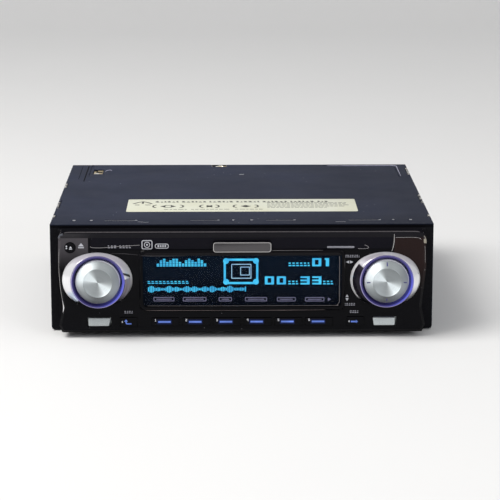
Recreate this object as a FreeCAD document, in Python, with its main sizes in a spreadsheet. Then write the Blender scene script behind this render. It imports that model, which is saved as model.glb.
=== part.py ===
import FreeCAD, Part
import math
import os

import Sketcher
from FreeCAD import Rotation, Vector

# Car stereo head unit whose front panel slides out and tilts back to show the disc slot.
# Frame: +Z up, the front looks along -Y, origin at the centre of the chassis underside.
# Sizes are in millimetres and degrees. "forward" is a distance along -Y from the chassis centre.

SIZES = (
    # chassis and cover
    ("case_width", 178, "chassis, outside"),
    ("case_height", 50, "chassis with its cover"),
    ("case_depth", 157, "chassis, front edge to rear plate"),
    ("sheet", 1, "sheet metal of chassis, cover and rear plate"),
    ("case_bend", 1.6, "outer radius of the two floor bends"),
    ("tab_depth", 1.4, "how far a cover notch reaches in from the side"),
    ("tab_play", 0.2, "gap between a chassis tab and its notch"),
    ("side_hole_radius", 2.1, "tapping radius of the M5 side holes"),
    ("side_hole_step_y", 60, "M5 side holes, front to back"),
    ("side_hole_z", 21, "M5 side holes, height"),
    ("side_vent_count", 4, "vents near the rear of each side"),
    ("side_vent_step", 5, "vent pitch"),
    ("side_vent_width", 2.2, "vent width"),
    ("side_vent_low", 13, "lower end of the vents"),
    ("side_vent_high", 30, "upper end of the vents"),
    ("side_vent_start", 44, "first vent, behind the chassis centre"),
    ("latch_front", 10, "sleeve latch window, behind the front edge"),
    ("latch_long", 9, "sleeve latch window length"),
    ("latch_low", 30, "sleeve latch window, lower edge"),
    ("latch_tall", 5, "sleeve latch window height"),
    ("row_back", 9.6, "slot row on the cover, behind the front edge"),
    ("row_slot_wide", 1.3, "slots of the row, front to back"),
    ("outer_slot_x", 57, "outer slots, centre"),
    ("outer_slot_long", 14, "outer slots, length"),
    ("inner_slot_x", 17.8, "inner slots, centre"),
    ("inner_slot_long", 12.5, "inner slots, length"),
    ("bead_deep", 0.35, "depth of the cover's beads"),
    ("bead_wide", 1.2, "width of the cover's beads"),
    ("window_inset", 14.8, "left rear window of the cover, centre from the side"),
    ("window_wide", 5.2, "left rear window, across"),
    ("window_long", 13, "left rear window, front to back"),
    ("window_back", 20.5, "left rear window, its centre before the rear edge"),
    ("notch_x", 10.7, "rear notch of the cover, centre from the middle"),
    ("notch_wide", 8, "rear notch, across"),
    ("notch_deep", 6, "rear notch, front to back"),
    ("spring_play", 0.4, "gap round an earthing spring in its window"),
    # nose frame
    ("nose_inset", 4, "nose frame, its sides inside the chassis sides"),
    ("nose_low", 1.8, "nose frame, lower edge"),
    ("nose_top_inset", 1.7, "nose frame, its upper edge below the cover"),
    ("nose_depth", 4.5, "nose frame before the chassis edge"),
    ("nose_skirt", 3.5, "skirt of the nose frame inside the chassis"),
    ("nose_wall", 1.5, "skirt thickness"),
    ("fit_play", 0.2, "gap between a part and the opening that it sits in"),
    ("slot_half", 37.3, "disc slot, half width"),
    ("slot_tall", 6.6, "disc slot, height"),
    ("slot_top_inset", 6.2, "disc slot, upper edge below the cover"),
    ("slot_flare", 1.2, "funnel round the disc slot"),
    # front panel
    ("panel_gap", 0.4, "gap between nose frame and closed panel"),
    ("panel_face", 15.25, "key plane before the chassis edge"),
    ("panel_low", 2.2, "lower edge of the panel"),
    ("panel_top_inset", 1.2, "upper edge of the panel below the cover"),
    ("panel_side_top", 5, "panel side inside the chassis side, upper edge"),
    ("panel_side_middle", 4.5, "panel side inside the chassis side, widest"),
    ("panel_middle_z", 33, "height of the greatest half width"),
    ("panel_side_waist", 6.4, "panel side inside the chassis side, grip notch"),
    ("panel_waist_z", 14, "height of the grip notch"),
    ("panel_side_foot", 4.6, "panel side inside the chassis side, near the foot"),
    ("panel_foot_z", 5.5, "height of the foot's corner"),
    ("panel_corner", 1.5, "corner radius at the upper edge"),
    ("panel_wall", 1.6, "wall of the panel shell"),
    ("panel_bevel", 1.2, "bevel round the panel's front"),
    ("back_sheet", 1.2, "thickness of the panel's back cover"),
    ("display_proud", 1, "display block before the key plane"),
    ("display_inset", 18.8, "display block, its ends before the knob axes"),
    ("display_low", 12.7, "display block, lower edge"),
    ("display_top_inset", 7.5, "display block, upper edge below the panel's"),
    ("display_corner", 2.5, "display block, corner radius"),
    ("display_bevel", 0.6, "display block, bevel"),
    ("lens_side_inset", 1.7, "display window, inside the ends of its block"),
    ("lens_low", 14.5, "display window, lower edge"),
    ("lens_top_inset", 1.3, "display window, upper edge below the block's"),
    ("lens_corner", 2, "display window, corner radius"),
    ("lens_play", 0.1, "gap round the display window"),
    ("lens_sunk", 0.2, "display window behind the block's face"),
    ("strip_reach", 3.6, "sunk name strip, its ends beyond the knob axes"),
    ("strip_deep", 0.5, "depth of the name strip"),
    ("badge_half", 13.3, "badge seat, half width"),
    ("badge_gap", 0.6, "badge seat above the display block"),
    ("badge_top_inset", 2.8, "badge seat, upper edge below the panel's"),
    ("badge_deep", 0.4, "depth of the badge seat below the strip"),
    ("board_sheet", 1.2, "thickness of the panel board"),
    ("board_gap", 0.6, "gap between back cover and panel board"),
    ("board_arm_gap", 2.5, "panel board, its sides inside the arms"),
    ("board_wing_inset", 3.6, "panel board, its wings inside the panel sides"),
    ("board_wing_low", 18, "lower edge of the board's wings"),
    ("board_low", 4.2, "panel board, lower edge"),
    ("board_top_inset", 2.8, "panel board, upper edge below the panel's"),
    # knobs
    ("knob_inset", 23, "knob axes, from the chassis sides"),
    ("knob_rise", 0.2, "knob axes above the middle of the display block"),
    ("knob_radius", 10.25, "knob caps"),
    ("knob_front", 22.7, "crest of the caps before the chassis edge"),
    ("knob_back", 14.9, "rear edge of the caps before the chassis edge"),
    ("land_drop", 3.1, "outer edge of a cap's sloping land behind its crest"),
    ("disc_radius", 6.6, "sunk inner disc of the caps"),
    ("disc_sunk", 0.9, "inner disc behind the crest"),
    ("knob_bore", 3.02, "bore of the caps"),
    ("knob_wall", 3.2, "metal before the bore's end"),
    ("ring_inner", 10.85, "light ring, inside"),
    ("ring_outer", 12, "light ring, outside"),
    ("ring_front", 19.6, "light ring before the chassis edge"),
    ("well_play", 0.15, "gap round the light ring"),
    ("bezel_half_x", 16.2, "bezel, half width"),
    ("bezel_half_z", 13.4, "bezel, half height"),
    ("bezel_end", 12, "end radius of the bezel's oval"),
    ("bezel_thick", 1.6, "bezel thickness"),
    ("bezel_slope", 1.1, "how far the bezel's front is drawn in"),
    ("encoder_side", 12, "encoder body, side"),
    ("encoder_deep", 4, "encoder body, depth"),
    ("shaft_radius", 3, "encoder shaft and joystick stem"),
    ("shaft_play", 0.05, "running gap of a shaft"),
    ("shaft_tail", 1.6, "shaft's end before the panel board"),
    ("stick_side", 14, "four-way switch, side"),
    ("stick_deep", 5.6, "four-way switch, depth"),
    ("stick_floor", 0.8, "four-way switch, floor"),
    ("stick_well", 6.2, "four-way switch, half side of its well"),
    ("gimbal_outer", 5.6, "gimbal frame, half side"),
    ("gimbal_inner", 3.7, "gimbal frame, half side of its window"),
    ("gimbal_thick", 2, "gimbal frame, thickness"),
    ("trunnion", 0.6, "radius of the gimbal's trunnions"),
    ("stick_pivot", 3.5, "gimbal axes before the panel board"),
    # keys
    ("key_z", 7.4, "height of the key row"),
    ("key_play", 0.2, "gap round a key in its opening"),
    ("key_proud", 0.5, "keys before the key plane"),
    ("key_lip", 0.7, "width of a key's retaining flange"),
    ("key_flange", 0.8, "thickness of a key's retaining flange"),
    ("key_slack", 0.1, "gap between flange and shell"),
    ("key_stem_side", 2, "side of a key's stem"),
    ("key_travel", 0.8, "travel of the keys"),
    ("switch_side", 4.6, "side of a key switch"),
    ("switch_deep", 2, "depth of a key switch"),
    ("soft_inset", 4.78, "row of soft keys inside the ends of the display block"),
    ("soft_gap", 1.74, "gap between two soft keys"),
    ("soft_tall", 3.6, "soft key, height"),
    ("bar_wide", 5.9, "light bar of a soft key, across"),
    ("bar_tall", 1.2, "light bar of a soft key, height"),
    ("bar_deep", 0.3, "light bar of a soft key, depth"),
    ("arrow_reach", 5, "back and next keys beyond the display block"),
    ("arrow_wide", 7.6, "back and next keys, across"),
    ("arrow_tall", 4.2, "back and next keys, height"),
    ("silver_inset", 0.3, "silver keys inside the knob axes"),
    ("silver_wide", 10.3, "silver keys, across"),
    ("silver_tall", 3.9, "silver keys, height"),
    ("silver_end", 1, "cut or rounded end of the silver keys"),
    ("open_inset", 5.4, "open key inside the panel side"),
    ("open_top_inset", 6.4, "open key below the panel's upper edge"),
    ("open_radius", 2.4, "open key"),
    # panel drive
    ("hinge_inset", 2, "hinge axis before the panel's back"),
    ("hinge_z", 6.5, "hinge axis, height"),
    ("hinge_pin", 1.2, "radius of the hinge pins"),
    ("hinge_play", 0.06, "running gap of the hinge pins"),
    ("arm_inset", 11.5, "middle of an arm, from the chassis side"),
    ("arm_thick", 2, "thickness of an arm"),
    ("arm_nose", 2.2, "radius of an arm's rounded end"),
    ("arm_play", 0.3, "gap beside an arm"),
    ("arm_long", 73.4, "arm, hinge axis to its rear end"),
    ("ear_thick", 1.5, "thickness of a hinge ear"),
    ("tooth_size", 1, "module of the racks"),
    ("tooth_lead", 0.65, "tooth height over the pitch line, in modules"),
    ("tooth_root", 0.95, "tooth depth under the pitch line, in modules"),
    ("tooth_play", 0.14, "backlash of each mesh"),
    ("rack_pitch_z", 8.5, "pitch line of the racks"),
    ("rack_teeth", 18, "teeth of a rack"),
    ("rack_pinion_teeth", 12, "teeth of a rack pinion"),
    ("pinion_wide", 2.6, "width of a rack pinion"),
    ("drive_inset", 16.5, "cross shaft behind the chassis edge"),
    ("drive_shaft_radius", 2, "cross shaft"),
    ("guide_wall", 1.9, "walls of the arm guides"),
    ("guide_play", 0.2, "gap under an arm in its guide"),
    ("guide_long", 62, "arm guides, length"),
    ("guide_front", 5, "arm guides, behind the chassis edge"),
    ("guide_high", 7, "upper edge of the guide walls"),
    ("bearing_half", 3.6, "half width of a bearing block"),
    ("bearing_wall", 2, "metal round the shaft in a bearing block"),
    ("motor_tooth_size", 0.8, "module of the motor stage"),
    ("drive_gear_teeth", 24, "teeth of the drive gear"),
    ("motor_pinion_teeth", 10, "teeth of the motor pinion"),
    ("drive_gear_inset", 17.5, "drive gear, inside the left arm"),
    ("drive_gear_wide", 3, "width of the drive gear"),
    ("motor_half", 6.5, "half side of the panel motor"),
    ("motor_long", 22, "panel motor, length"),
    ("motor_shaft", 0.8, "panel motor shaft"),
    # disc mechanism
    ("deck_low", 25, "underside of the mechanism's base plate"),
    ("deck_half", 43, "base plate, half width"),
    ("deck_front", 6.5, "base plate, behind the chassis edge"),
    ("deck_long", 98, "base plate, front to back"),
    ("deck_wall_inset", 4, "side walls of the mechanism, below the cover"),
    ("ear_reach", 12, "ears of the base plate beyond its side"),
    ("ear_long", 10, "ears of the base plate, front to back"),
    ("front_ear_y", 49, "front ears, before the chassis centre"),
    ("rear_ear_y", 9, "rear ears, behind the chassis centre"),
    ("damper_side", 7, "rubber dampers, side"),
    ("damper_high", 1.5, "height of a damper"),
    ("damper_inset", 6, "damper axes, inside the ends of the ears"),
    ("spindle_y", 34, "spindle axis before the chassis centre"),
    ("spindle_can", 8, "half side of the flat spindle motor"),
    ("spindle_deep", 5, "depth of the spindle motor"),
    ("spindle_shaft", 1, "spindle shaft"),
    ("spindle_hole", 2, "hole in the base plate for the spindle"),
    ("table_radius", 7.5, "turntable"),
    ("table_low", 29, "underside of the turntable"),
    ("table_high", 31.3, "upper face of the turntable"),
    ("cartridge_wide", 72, "disc cartridge, across"),
    ("cartridge_deep", 68, "disc cartridge, front to back"),
    ("cartridge_thick", 5, "disc cartridge, thickness"),
    ("cartridge_below", 12, "underside of the cartridge on entry, below the cover"),
    ("cartridge_play", 0.6, "gap round the cartridge in its holder"),
    ("holder_sheet", 0.6, "sheet of the cartridge holder"),
    ("holder_lip", 5, "lower lips of the holder"),
    ("holder_drop", 5.5, "travel of the holder"),
    ("cam_travel", 9, "travel of the cam slide"),
    ("cam_sheet", 1, "sheet of the cam slide"),
    ("cam_play", 0.2, "gap beside the cam slide"),
    ("cam_tall", 11.6, "height of the cam slide"),
    ("cam_over", 5.6, "upper edge of the cam slide above the cartridge's underside"),
    ("cam_margin", 4, "metal before the front cam slot"),
    ("cam_tail", 1, "rear edge of the cam slide before the base plate's"),
    ("bridge_over", 2.3, "bridge of the cam slide above the sled motor"),
    ("lug_half", 0.7, "bent lugs of the holder, half side"),
    ("lug_play", 0.06, "gap of a lug in its slots"),
    ("front_lug_y", 60, "front lugs before the chassis centre"),
    ("rear_lug_y", 16, "rear lugs before the chassis centre"),
    ("load_tooth_size", 0.5, "module of the loading rack"),
    ("load_teeth", 12, "teeth of the loading pinion"),
    ("load_wheel_spare", 1.2, "width of the loading pinion over the cam's sheet and play"),
    ("load_rack_teeth", 9, "teeth of the loading rack"),
    ("load_y", 16, "loading pinion behind the chassis centre"),
    ("load_z", 31.6, "loading pinion, height"),
    ("load_can", 4.6, "half side of the loading motor"),
    ("load_long", 18, "loading motor, length"),
    ("load_shaft", 0.7, "loading motor shaft"),
    ("rail_x", 13, "sled rails, from the middle"),
    ("rail_z", 28.6, "sled rails, height"),
    ("rail_radius", 1.2, "sled rails"),
    ("rail_front", 24, "front end of the rails before the chassis centre"),
    ("rail_tail", 9, "rear end of the rails before the base plate's edge"),
    ("rail_seat", 1.6, "thickness of the rail seats"),
    ("sled_half", 16, "sled, half width"),
    ("sled_front", 21, "front of the sled before the chassis centre"),
    ("sled_long", 18, "sled, front to back"),
    ("sled_low", 26.8, "underside of the sled"),
    ("sled_high", 30.4, "upper face of the sled"),
    ("lens_eye", 2, "half side of the pickup's lens holder"),
    ("lens_eye_high", 0.5, "height of the pickup's lens holder"),
    ("screw_x", 21, "lead screw, left of the middle"),
    ("screw_z", 30.2, "lead screw, height"),
    ("screw_radius", 1, "lead screw"),
    ("screw_can", 4, "half side of the sled motor"),
    ("screw_can_long", 9, "length of the sled motor"),
    # electronics and rear
    ("pcb_inset", 17, "main board, its sides inside the chassis sides"),
    ("pcb_low", 6, "underside of the main board"),
    ("pcb_sheet", 1.6, "thickness of the main board"),
    ("pcb_front", 37, "front edge of the main board before the centre"),
    ("pcb_rear", 5, "main board's rear edge before the rear plate"),
    ("lance_side", 6, "bent-up board supports, side"),
    ("lance_inset", 8, "board supports, inside the board's sides"),
    ("sink_long", 42, "heat sink, length"),
    ("sink_inset", 5, "heat sink, outer end inside the chassis side"),
    ("sink_low", 5, "heat sink, lower edge"),
    ("sink_top_inset", 5, "heat sink, upper edge below the cover"),
    ("sink_base", 2.6, "heat sink, base"),
    ("sink_fin", 1.4, "heat sink, fin thickness"),
    ("sink_reach", 7, "heat sink, fin depth"),
    ("sink_fins", 8, "heat sink, number of fins"),
    ("sink_margin", 5, "heat sink, base beyond the outer fins"),
    ("chip_wide", 19, "amplifier chip, across"),
    ("chip_tall", 17, "amplifier chip, height"),
    ("chip_deep", 4.5, "amplifier chip, depth"),
    ("choke_side", 16, "power choke, side"),
    ("choke_tall", 14, "power choke, height"),
    ("choke_x", 18, "power choke, right of the middle"),
    ("choke_y", 46, "power choke, behind the centre"),
    ("tuner_wide", 32, "tuner module, across"),
    ("tuner_deep", 34, "tuner module, front to back"),
    ("tuner_tall", 14, "tuner module, height"),
    ("tuner_inset", 22, "tuner module, its middle from the chassis side"),
    ("tuner_y", 48, "tuner module behind the centre"),
    ("aerial_off", 7, "aerial socket, outside the tuner module's middle"),
    ("aerial_z", 16, "aerial socket, height"),
    ("aerial_outer", 6.4, "aerial socket, outside"),
    ("aerial_bore", 4.5, "aerial socket, bore"),
    ("aerial_deep", 10, "aerial socket, depth of the bore"),
    ("aerial_proud", 4, "aerial socket behind the rear plate"),
    ("line_off", 19, "line-out block, inside the tuner module's middle"),
    ("line_step", 14, "line-out sockets, pitch"),
    ("line_radius", 4.15, "line-out barrels"),
    ("line_bore", 1.6, "line-out barrels, centre hole"),
    ("line_long", 8.5, "line-out barrels, length"),
    ("line_block_wide", 26, "line-out block, across"),
    ("line_block_tall", 13, "line-out block, height"),
    ("line_block_deep", 10, "line-out block, depth"),
    ("power_off", 39, "power socket, inside the line-out block"),
    ("power_wide", 36, "power socket, across"),
    ("power_tall", 20, "power socket, height"),
    ("power_deep", 17, "power socket, depth"),
    ("power_wall", 1.6, "power socket, wall"),
    ("power_floor", 3, "power socket, floor"),
    ("power_pins", 8, "contacts in each row of the power socket"),
    ("power_pin_side", 0.9, "contact, side"),
    ("power_pin_long", 8, "contact, length"),
    ("fuse_off", 29, "fuse, right of the power socket"),
    ("fuse_wide", 5, "fuse, thickness"),
    ("fuse_tall", 19, "fuse, width"),
    ("fuse_deep", 11, "fuse, depth"),
    ("fuse_proud", 3, "fuse behind the rear plate"),
    ("stud_below", 11, "rear support nut, below the cover"),
    ("stud_outer", 5, "rear support nut, outside"),
    ("stud_long", 4, "rear support nut, length inside the plate"),
    ("stud_bore", 2.1, "rear support nut, tapping radius"),
    ("screw_head", 2.4, "screw heads, across the corners' radius"),
    ("screw_head_high", 1.2, "screw heads, height"),
)

# Cover tabs of each chassis side: centre behind the front edge, and length
LEFT_TABS = (("left_tab_1", 19.5, 5), ("left_tab_2", 49, 20), ("left_tab_3", 97.5, 11))
RIGHT_TABS = (("right_tab_1", 19, 5), ("right_tab_2", 61, 22), ("right_tab_3", 135.5, 21))

doc = FreeCAD.newDocument("head_unit")
NODES = []


class Size:
    """A length or count: its value, and the expression that binds an object's property to the sheet."""

    def __init__(self, value, text):
        self.value = value
        self.text = text

    @staticmethod
    def of(item):
        return item if isinstance(item, Size) else Size(float(item), repr(float(item)))

    def join(self, other, sign, value):
        return Size(value, "(%s %s %s)" % (self.text, sign, other.text))

    def __add__(self, other):
        other = Size.of(other)
        return self.join(other, "+", self.value + other.value)

    def __sub__(self, other):
        other = Size.of(other)
        return self.join(other, "-", self.value - other.value)

    def __mul__(self, other):
        other = Size.of(other)
        return self.join(other, "*", self.value * other.value)

    def __truediv__(self, other):
        other = Size.of(other)
        return self.join(other, "/", self.value / other.value)

    def __radd__(self, other):
        return Size.of(other) + self

    def __rsub__(self, other):
        return Size.of(other) - self

    def __rmul__(self, other):
        return Size.of(other) * self

    def __neg__(self):
        return Size(-self.value, "(0 - %s)" % self.text)

    def root(self):
        return Size(math.sqrt(self.value), "sqrt(%s)" % self.text)


class Dimensions:
    """The driving dimensions, kept in a spreadsheet and read back from its cells."""

    def __init__(self):
        table = doc.addObject("Spreadsheet::Sheet", "Dims")
        rows = list(SIZES)
        for name, centre, length in LEFT_TABS + RIGHT_TABS:
            rows.append((name + "_centre", centre, "cover tab, behind the front edge"))
            rows.append((name + "_length", length, "cover tab, length"))
        for number, (alias, value, note) in enumerate(rows, start=1):
            table.set("A%d" % number, alias)
            table.set("B%d" % number, str(value))
            table.set("C%d" % number, note)
            table.setAlias("B%d" % number, alias)
        doc.recompute()
        for alias, value, note in rows:
            setattr(self, alias, Size(float(table.get(alias)), "Dims." + alias))


d = Dimensions()
ZERO = Size.of(0)

# Levels that several pieces share
front_u = d.case_depth / 2
rear_y = d.case_depth / 2
cover_z = d.case_height - d.sheet
half_case = d.case_width / 2
inner_half = half_case - d.sheet
nose_u = front_u + d.nose_depth
back_u = nose_u + d.panel_gap
plate_u = back_u + d.back_sheet
board_u = plate_u + d.board_gap
board_front_u = board_u + d.board_sheet
face_u = front_u + d.panel_face
wall_u = face_u - d.panel_wall
block_u = face_u + d.display_proud
hinge_u = back_u + d.hinge_inset
knob_u = front_u + d.knob_front
flange_u = wall_u - d.key_slack
switch_u = board_front_u + d.switch_deep
deck_top = d.deck_low + d.sheet
pcb_top = d.pcb_low + d.pcb_sheet

# Openings of the cover and of the nose frame
window_x = half_case - d.window_inset
nose_width = (half_case - d.nose_inset) * 2
nose_high = d.case_height - d.nose_top_inset
slot_high = d.case_height - d.slot_top_inset
slot_low = slot_high - d.slot_tall

# Outline of the panel and places on it, from the chassis sides and the cover
arm_x = half_case - d.arm_inset
knob_x = half_case - d.knob_inset
panel_high = d.case_height - d.panel_top_inset
panel_half_top = half_case - d.panel_side_top
panel_half_middle = half_case - d.panel_side_middle
panel_half_waist = half_case - d.panel_side_waist
panel_half_foot = half_case - d.panel_side_foot
display_half = knob_x - d.display_inset
display_high = panel_high - d.display_top_inset
lens_half = display_half - d.lens_side_inset
lens_high = display_high - d.lens_top_inset
strip_half = knob_x + d.strip_reach
badge_low = display_high + d.badge_gap
badge_high = panel_high - d.badge_top_inset
board_half = arm_x - d.arm_thick / 2 - d.board_arm_gap
board_wing_half = panel_half_top - d.board_wing_inset
board_high = panel_high - d.board_top_inset
knob_z = (d.display_low + display_high) / 2 + d.knob_rise
soft_step = (display_half - d.soft_inset) / 3
soft_wide = soft_step - d.soft_gap
arrow_x = display_half + d.arrow_reach
silver_x = knob_x - d.silver_inset
open_x = panel_half_top - d.open_inset
open_z = panel_high - d.open_top_inset

# Panel drive and disc mechanism
drive_gear_x = arm_x - d.drive_gear_inset
deck_wall_high = d.case_height - d.deck_wall_inset
cartridge_low = d.case_height - d.cartridge_below
cam_high = cartridge_low + d.cam_over
cam_low = cam_high - d.cam_tall
bridge_low = d.screw_z + d.screw_can + d.bridge_over
deck_rear = d.deck_front + d.deck_long - front_u
cam_rear = deck_rear - d.cam_tail
rail_rear = deck_rear - d.rail_tail

# Board, heat sink and sockets
pcb_half = half_case - d.pcb_inset
lance_x = pcb_half - d.lance_inset
sink_high_x = half_case - d.sink_inset
sink_low_x = sink_high_x - d.sink_long
sink_high = d.case_height - d.sink_top_inset
tuner_x = half_case - d.tuner_inset
aerial_x = tuner_x + d.aerial_off
line_x = tuner_x - d.line_off
power_x = line_x - d.power_off
fuse_x = d.fuse_off - power_x
stud_z = d.case_height - d.stud_below


# Distance under which two levels count as one
TOUCH = 1e-6


# Building blocks


def bind(item, prop, size):
    """Ties a property to the sheet through its expression."""
    size = Size.of(size)
    item.setExpression(prop, size.text)


def place(item, x=ZERO, y=ZERO, z=ZERO, turn=None):
    """Puts an object at a point, given by sizes, and turned."""
    item.Placement = FreeCAD.Placement(Vector(0, 0, 0), turn or Rotation())
    for axis, size in (("x", x), ("y", y), ("z", z)):
        bind(item, "Placement.Base." + axis, size)
    return item


def block(x, y, z):
    """A box from its (low, high) limits along each axis."""
    item = doc.addObject("Part::Box", "block")
    for prop, (low, high) in (("Length", x), ("Width", y), ("Height", z)):
        bind(item, prop, Size.of(high) - low)
    return place(item, x[0], y[0], z[0])


TURNS = {
    "x": Rotation(Vector(0, 1, 0), 90),
    "y": Rotation(Vector(1, 0, 0), -90),
    "z": Rotation(),
}


def rod(axis, radius, span, centre):
    """A cylinder along an axis from span[0] to span[1]. centre holds its other two coordinates."""
    item = doc.addObject("Part::Cylinder", "rod")
    bind(item, "Radius", radius)
    bind(item, "Height", Size.of(span[1]) - span[0])
    at = list(centre)
    at.insert("xyz".index(axis), span[0])
    return place(item, *at, turn=TURNS[axis])


def hexagon(axis, radius, span, centre):
    """A six-sided prism along an axis, such as a nut or a screw head. radius reaches its corners."""
    item = doc.addObject("Part::Prism", "hexagon")
    item.Polygon = 6
    bind(item, "Circumradius", radius)
    bind(item, "Height", Size.of(span[1]) - span[0])
    at = list(centre)
    at.insert("xyz".index(axis), span[0])
    return place(item, *at, turn=TURNS[axis])


def fuse(*shapes):
    item = doc.addObject("Part::MultiFuse", "join")
    item.Shapes = list(shapes)
    item.Refine = True
    return item


def cut(base, *tools):
    item = doc.addObject("Part::Cut", "cut")
    item.Base = base
    item.Tool = tools[0] if len(tools) == 1 else fuse(*tools)
    item.Refine = True
    return item


def group(*shapes):
    """Separate solids that share one node."""
    item = doc.addObject("Part::Compound", "group")
    item.Links = list(shapes)
    return item


def mirrored(shape):
    """The same piece on the other side of the unit."""
    item = doc.addObject("Part::Mirroring", "mirror")
    item.Source = shape
    item.Normal = Vector(1, 0, 0)
    return item


def both(shape):
    return group(shape, mirrored(shape))


def node(item, name):
    """Names a finished piece. Its file takes the same name."""
    item.Label = name
    NODES.append(item)
    return item


def shaped(name, shape, **at):
    """A piece whose outline comes from a formula."""
    item = doc.addObject("Part::Feature", name)
    item.Shape = shape
    return place(item, **at)


# Sketches and the features that stand on them


def new_body(name):
    return doc.addObject("PartDesign::Body", name + "_body")


def new_sketch(body, role, offset):
    """A sketch on one of the body's planes, offset along the plane's normal."""
    item = body.newObject("Sketcher::SketchObject", body.Name + "_sketch")
    plane = next(f for f in body.Origin.OriginFeatures if f.Role == role)
    item.AttachmentSupport = [(plane, "")]
    item.MapMode = "FlatFace"
    bind(item, "AttachmentOffset.Base.z", offset)
    return item


def front_sketch(body, forward):
    """A sketch that faces the viewer, at a distance before the chassis centre."""
    return new_sketch(body, "XZ_Plane", forward)


def pin_down(sketch, element, vertex, x, y):
    """Fixes a point of the sketch at sizes of the sheet."""
    for kind, size in (("DistanceX", x), ("DistanceY", y)):
        size = Size.of(size)
        number = sketch.addConstraint(Sketcher.Constraint(kind, element, vertex, size.value))
        sketch.setExpression("Constraints[%d]" % number, size.text)


def arc_between(start, end, radius):
    """The short arc from start to end. It turns left where the radius is positive."""
    chord = end - start
    side = Vector(-chord.y, chord.x, 0).normalize() * math.copysign(1, radius)
    rise = math.sqrt(max(radius * radius - chord.Length ** 2 / 4, 0))
    centre = (start + end) * 0.5 + side * rise
    circle = Part.Circle(centre, Vector(0, 0, 1), abs(radius))
    ends = [start, end] if radius > 0 else [end, start]
    angles = [math.atan2(p.y - centre.y, p.x - centre.x) for p in ends]
    return Part.ArcOfCircle(circle, angles[0], angles[1])


def trace(sketch, points):
    """A closed outline. A point with a third item is reached by an arc of that radius."""
    places = [Vector(Size.of(p[0]).value, Size.of(p[1]).value, 0) for p in points]
    elements = []
    for index, target in enumerate(points):
        start, end = places[index - 1], places[index]
        if len(target) == 3:
            radius = Size.of(target[2])
            added = sketch.addGeometry(arc_between(start, end, radius.value), False)
            number = sketch.addConstraint(Sketcher.Constraint("Radius", added, abs(radius.value)))
            sign = 1 if radius.value > 0 else -1
            sketch.setExpression("Constraints[%d]" % number, (radius * sign).text)
            elements.append((added, 1, 2) if radius.value > 0 else (added, 2, 1))
        else:
            added = sketch.addGeometry(Part.LineSegment(start, end), False)
            elements.append((added, 1, 2))
    for index, (element, first, last) in enumerate(elements):
        following, start, end = elements[(index + 1) % len(elements)]
        sketch.addConstraint(Sketcher.Constraint("Coincident", element, last, following, start))
        pin_down(sketch, element, last, points[index][0], points[index][1])


def rectangle(sketch, x, y, corner=None):
    """A rectangle from its limits, with rounded corners where a radius is given."""
    (x0, x1), (y0, y1) = x, y
    if corner is None:
        trace(sketch, [(x0, y0), (x1, y0), (x1, y1), (x0, y1)])
        return
    trace(sketch, [
        (x0 + corner, y0, corner), (x1 - corner, y0),
        (x1, y0 + corner, corner), (x1, y1 - corner),
        (x1 - corner, y1, corner), (x0 + corner, y1),
        (x0, y1 - corner, corner), (x0, y0 + corner),
    ])


def round_hole(sketch, x, y, radius):
    x, y, radius = Size.of(x), Size.of(y), Size.of(radius)
    circle = Part.Circle(Vector(x.value, y.value, 0), Vector(0, 0, 1), radius.value)
    added = sketch.addGeometry(circle, False)
    pin_down(sketch, added, 3, x, y)
    number = sketch.addConstraint(Sketcher.Constraint("Radius", added, radius.value))
    sketch.setExpression("Constraints[%d]" % number, radius.text)


def octagon(sketch, x, y, half):
    """An eight-sided opening that just clears a round part of the radius half."""
    less = half * (Size.of(2).root() - 1)
    trace(sketch, [
        (x - less, y - half), (x + less, y - half), (x + half, y - less), (x + half, y + less),
        (x + less, y + half), (x - less, y + half), (x - half, y + less), (x - half, y - less),
    ])


def pad(body, sketch, length, backwards=False):
    item = body.newObject("PartDesign::Pad", body.Name + "_pad")
    item.Profile = sketch
    item.Reversed = backwards
    bind(item, "Length", length)
    return item


def pocket(body, sketch, length=None, towards_normal=False, both_ways=False):
    """Cuts from the sketch against its normal, or along it, or right through both ways."""
    item = body.newObject("PartDesign::Pocket", body.Name + "_pocket")
    item.Profile = sketch
    item.Reversed = towards_normal
    if length is None:
        item.Type = "ThroughAll"
        item.Midplane = both_ways
    else:
        bind(item, "Length", length)
    return item


def turned(name, axis, points, **at):
    """A revolved piece. Points are (along the axis, radius), and the axis passes the given point."""
    body = new_body(name)
    sketch = new_sketch(body, {"x": "XZ_Plane", "y": "YZ_Plane", "z": "XZ_Plane"}[axis], ZERO)
    if axis == "z":
        points = [(radius, along) for along, radius in points]
    trace(sketch, points)
    item = body.newObject("PartDesign::Revolution", name + "_turn")
    item.Profile = sketch
    item.ReferenceAxis = (sketch, ["V_Axis" if axis == "z" else "H_Axis"])
    item.Angle = 360
    place(body, **at)
    return body


def edges_at(shape, plane, level):
    """Names of the edges that lie in a plane, such as y = -90."""
    found = []
    for number, edge in enumerate(shape.Edges, start=1):
        box = edge.BoundBox
        low, high = getattr(box, plane + "Min"), getattr(box, plane + "Max")
        if abs(low - level) < TOUCH and abs(high - level) < TOUCH:
            found.append("Edge%d" % number)
    return found


def chamfer(body, feature, names, size):
    item = body.newObject("PartDesign::Chamfer", body.Name + "_chamfer")
    item.Base = (feature, names)
    bind(item, "Size", size)
    return item


# Gear teeth


def involute(angle):
    return math.tan(angle) - angle


PRESSURE = math.radians(20)


def pierced(outline, hole):
    """A flat face with a round hole."""
    return Part.makeFace([outline, hole], "Part::FaceMakerBullseye")


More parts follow.
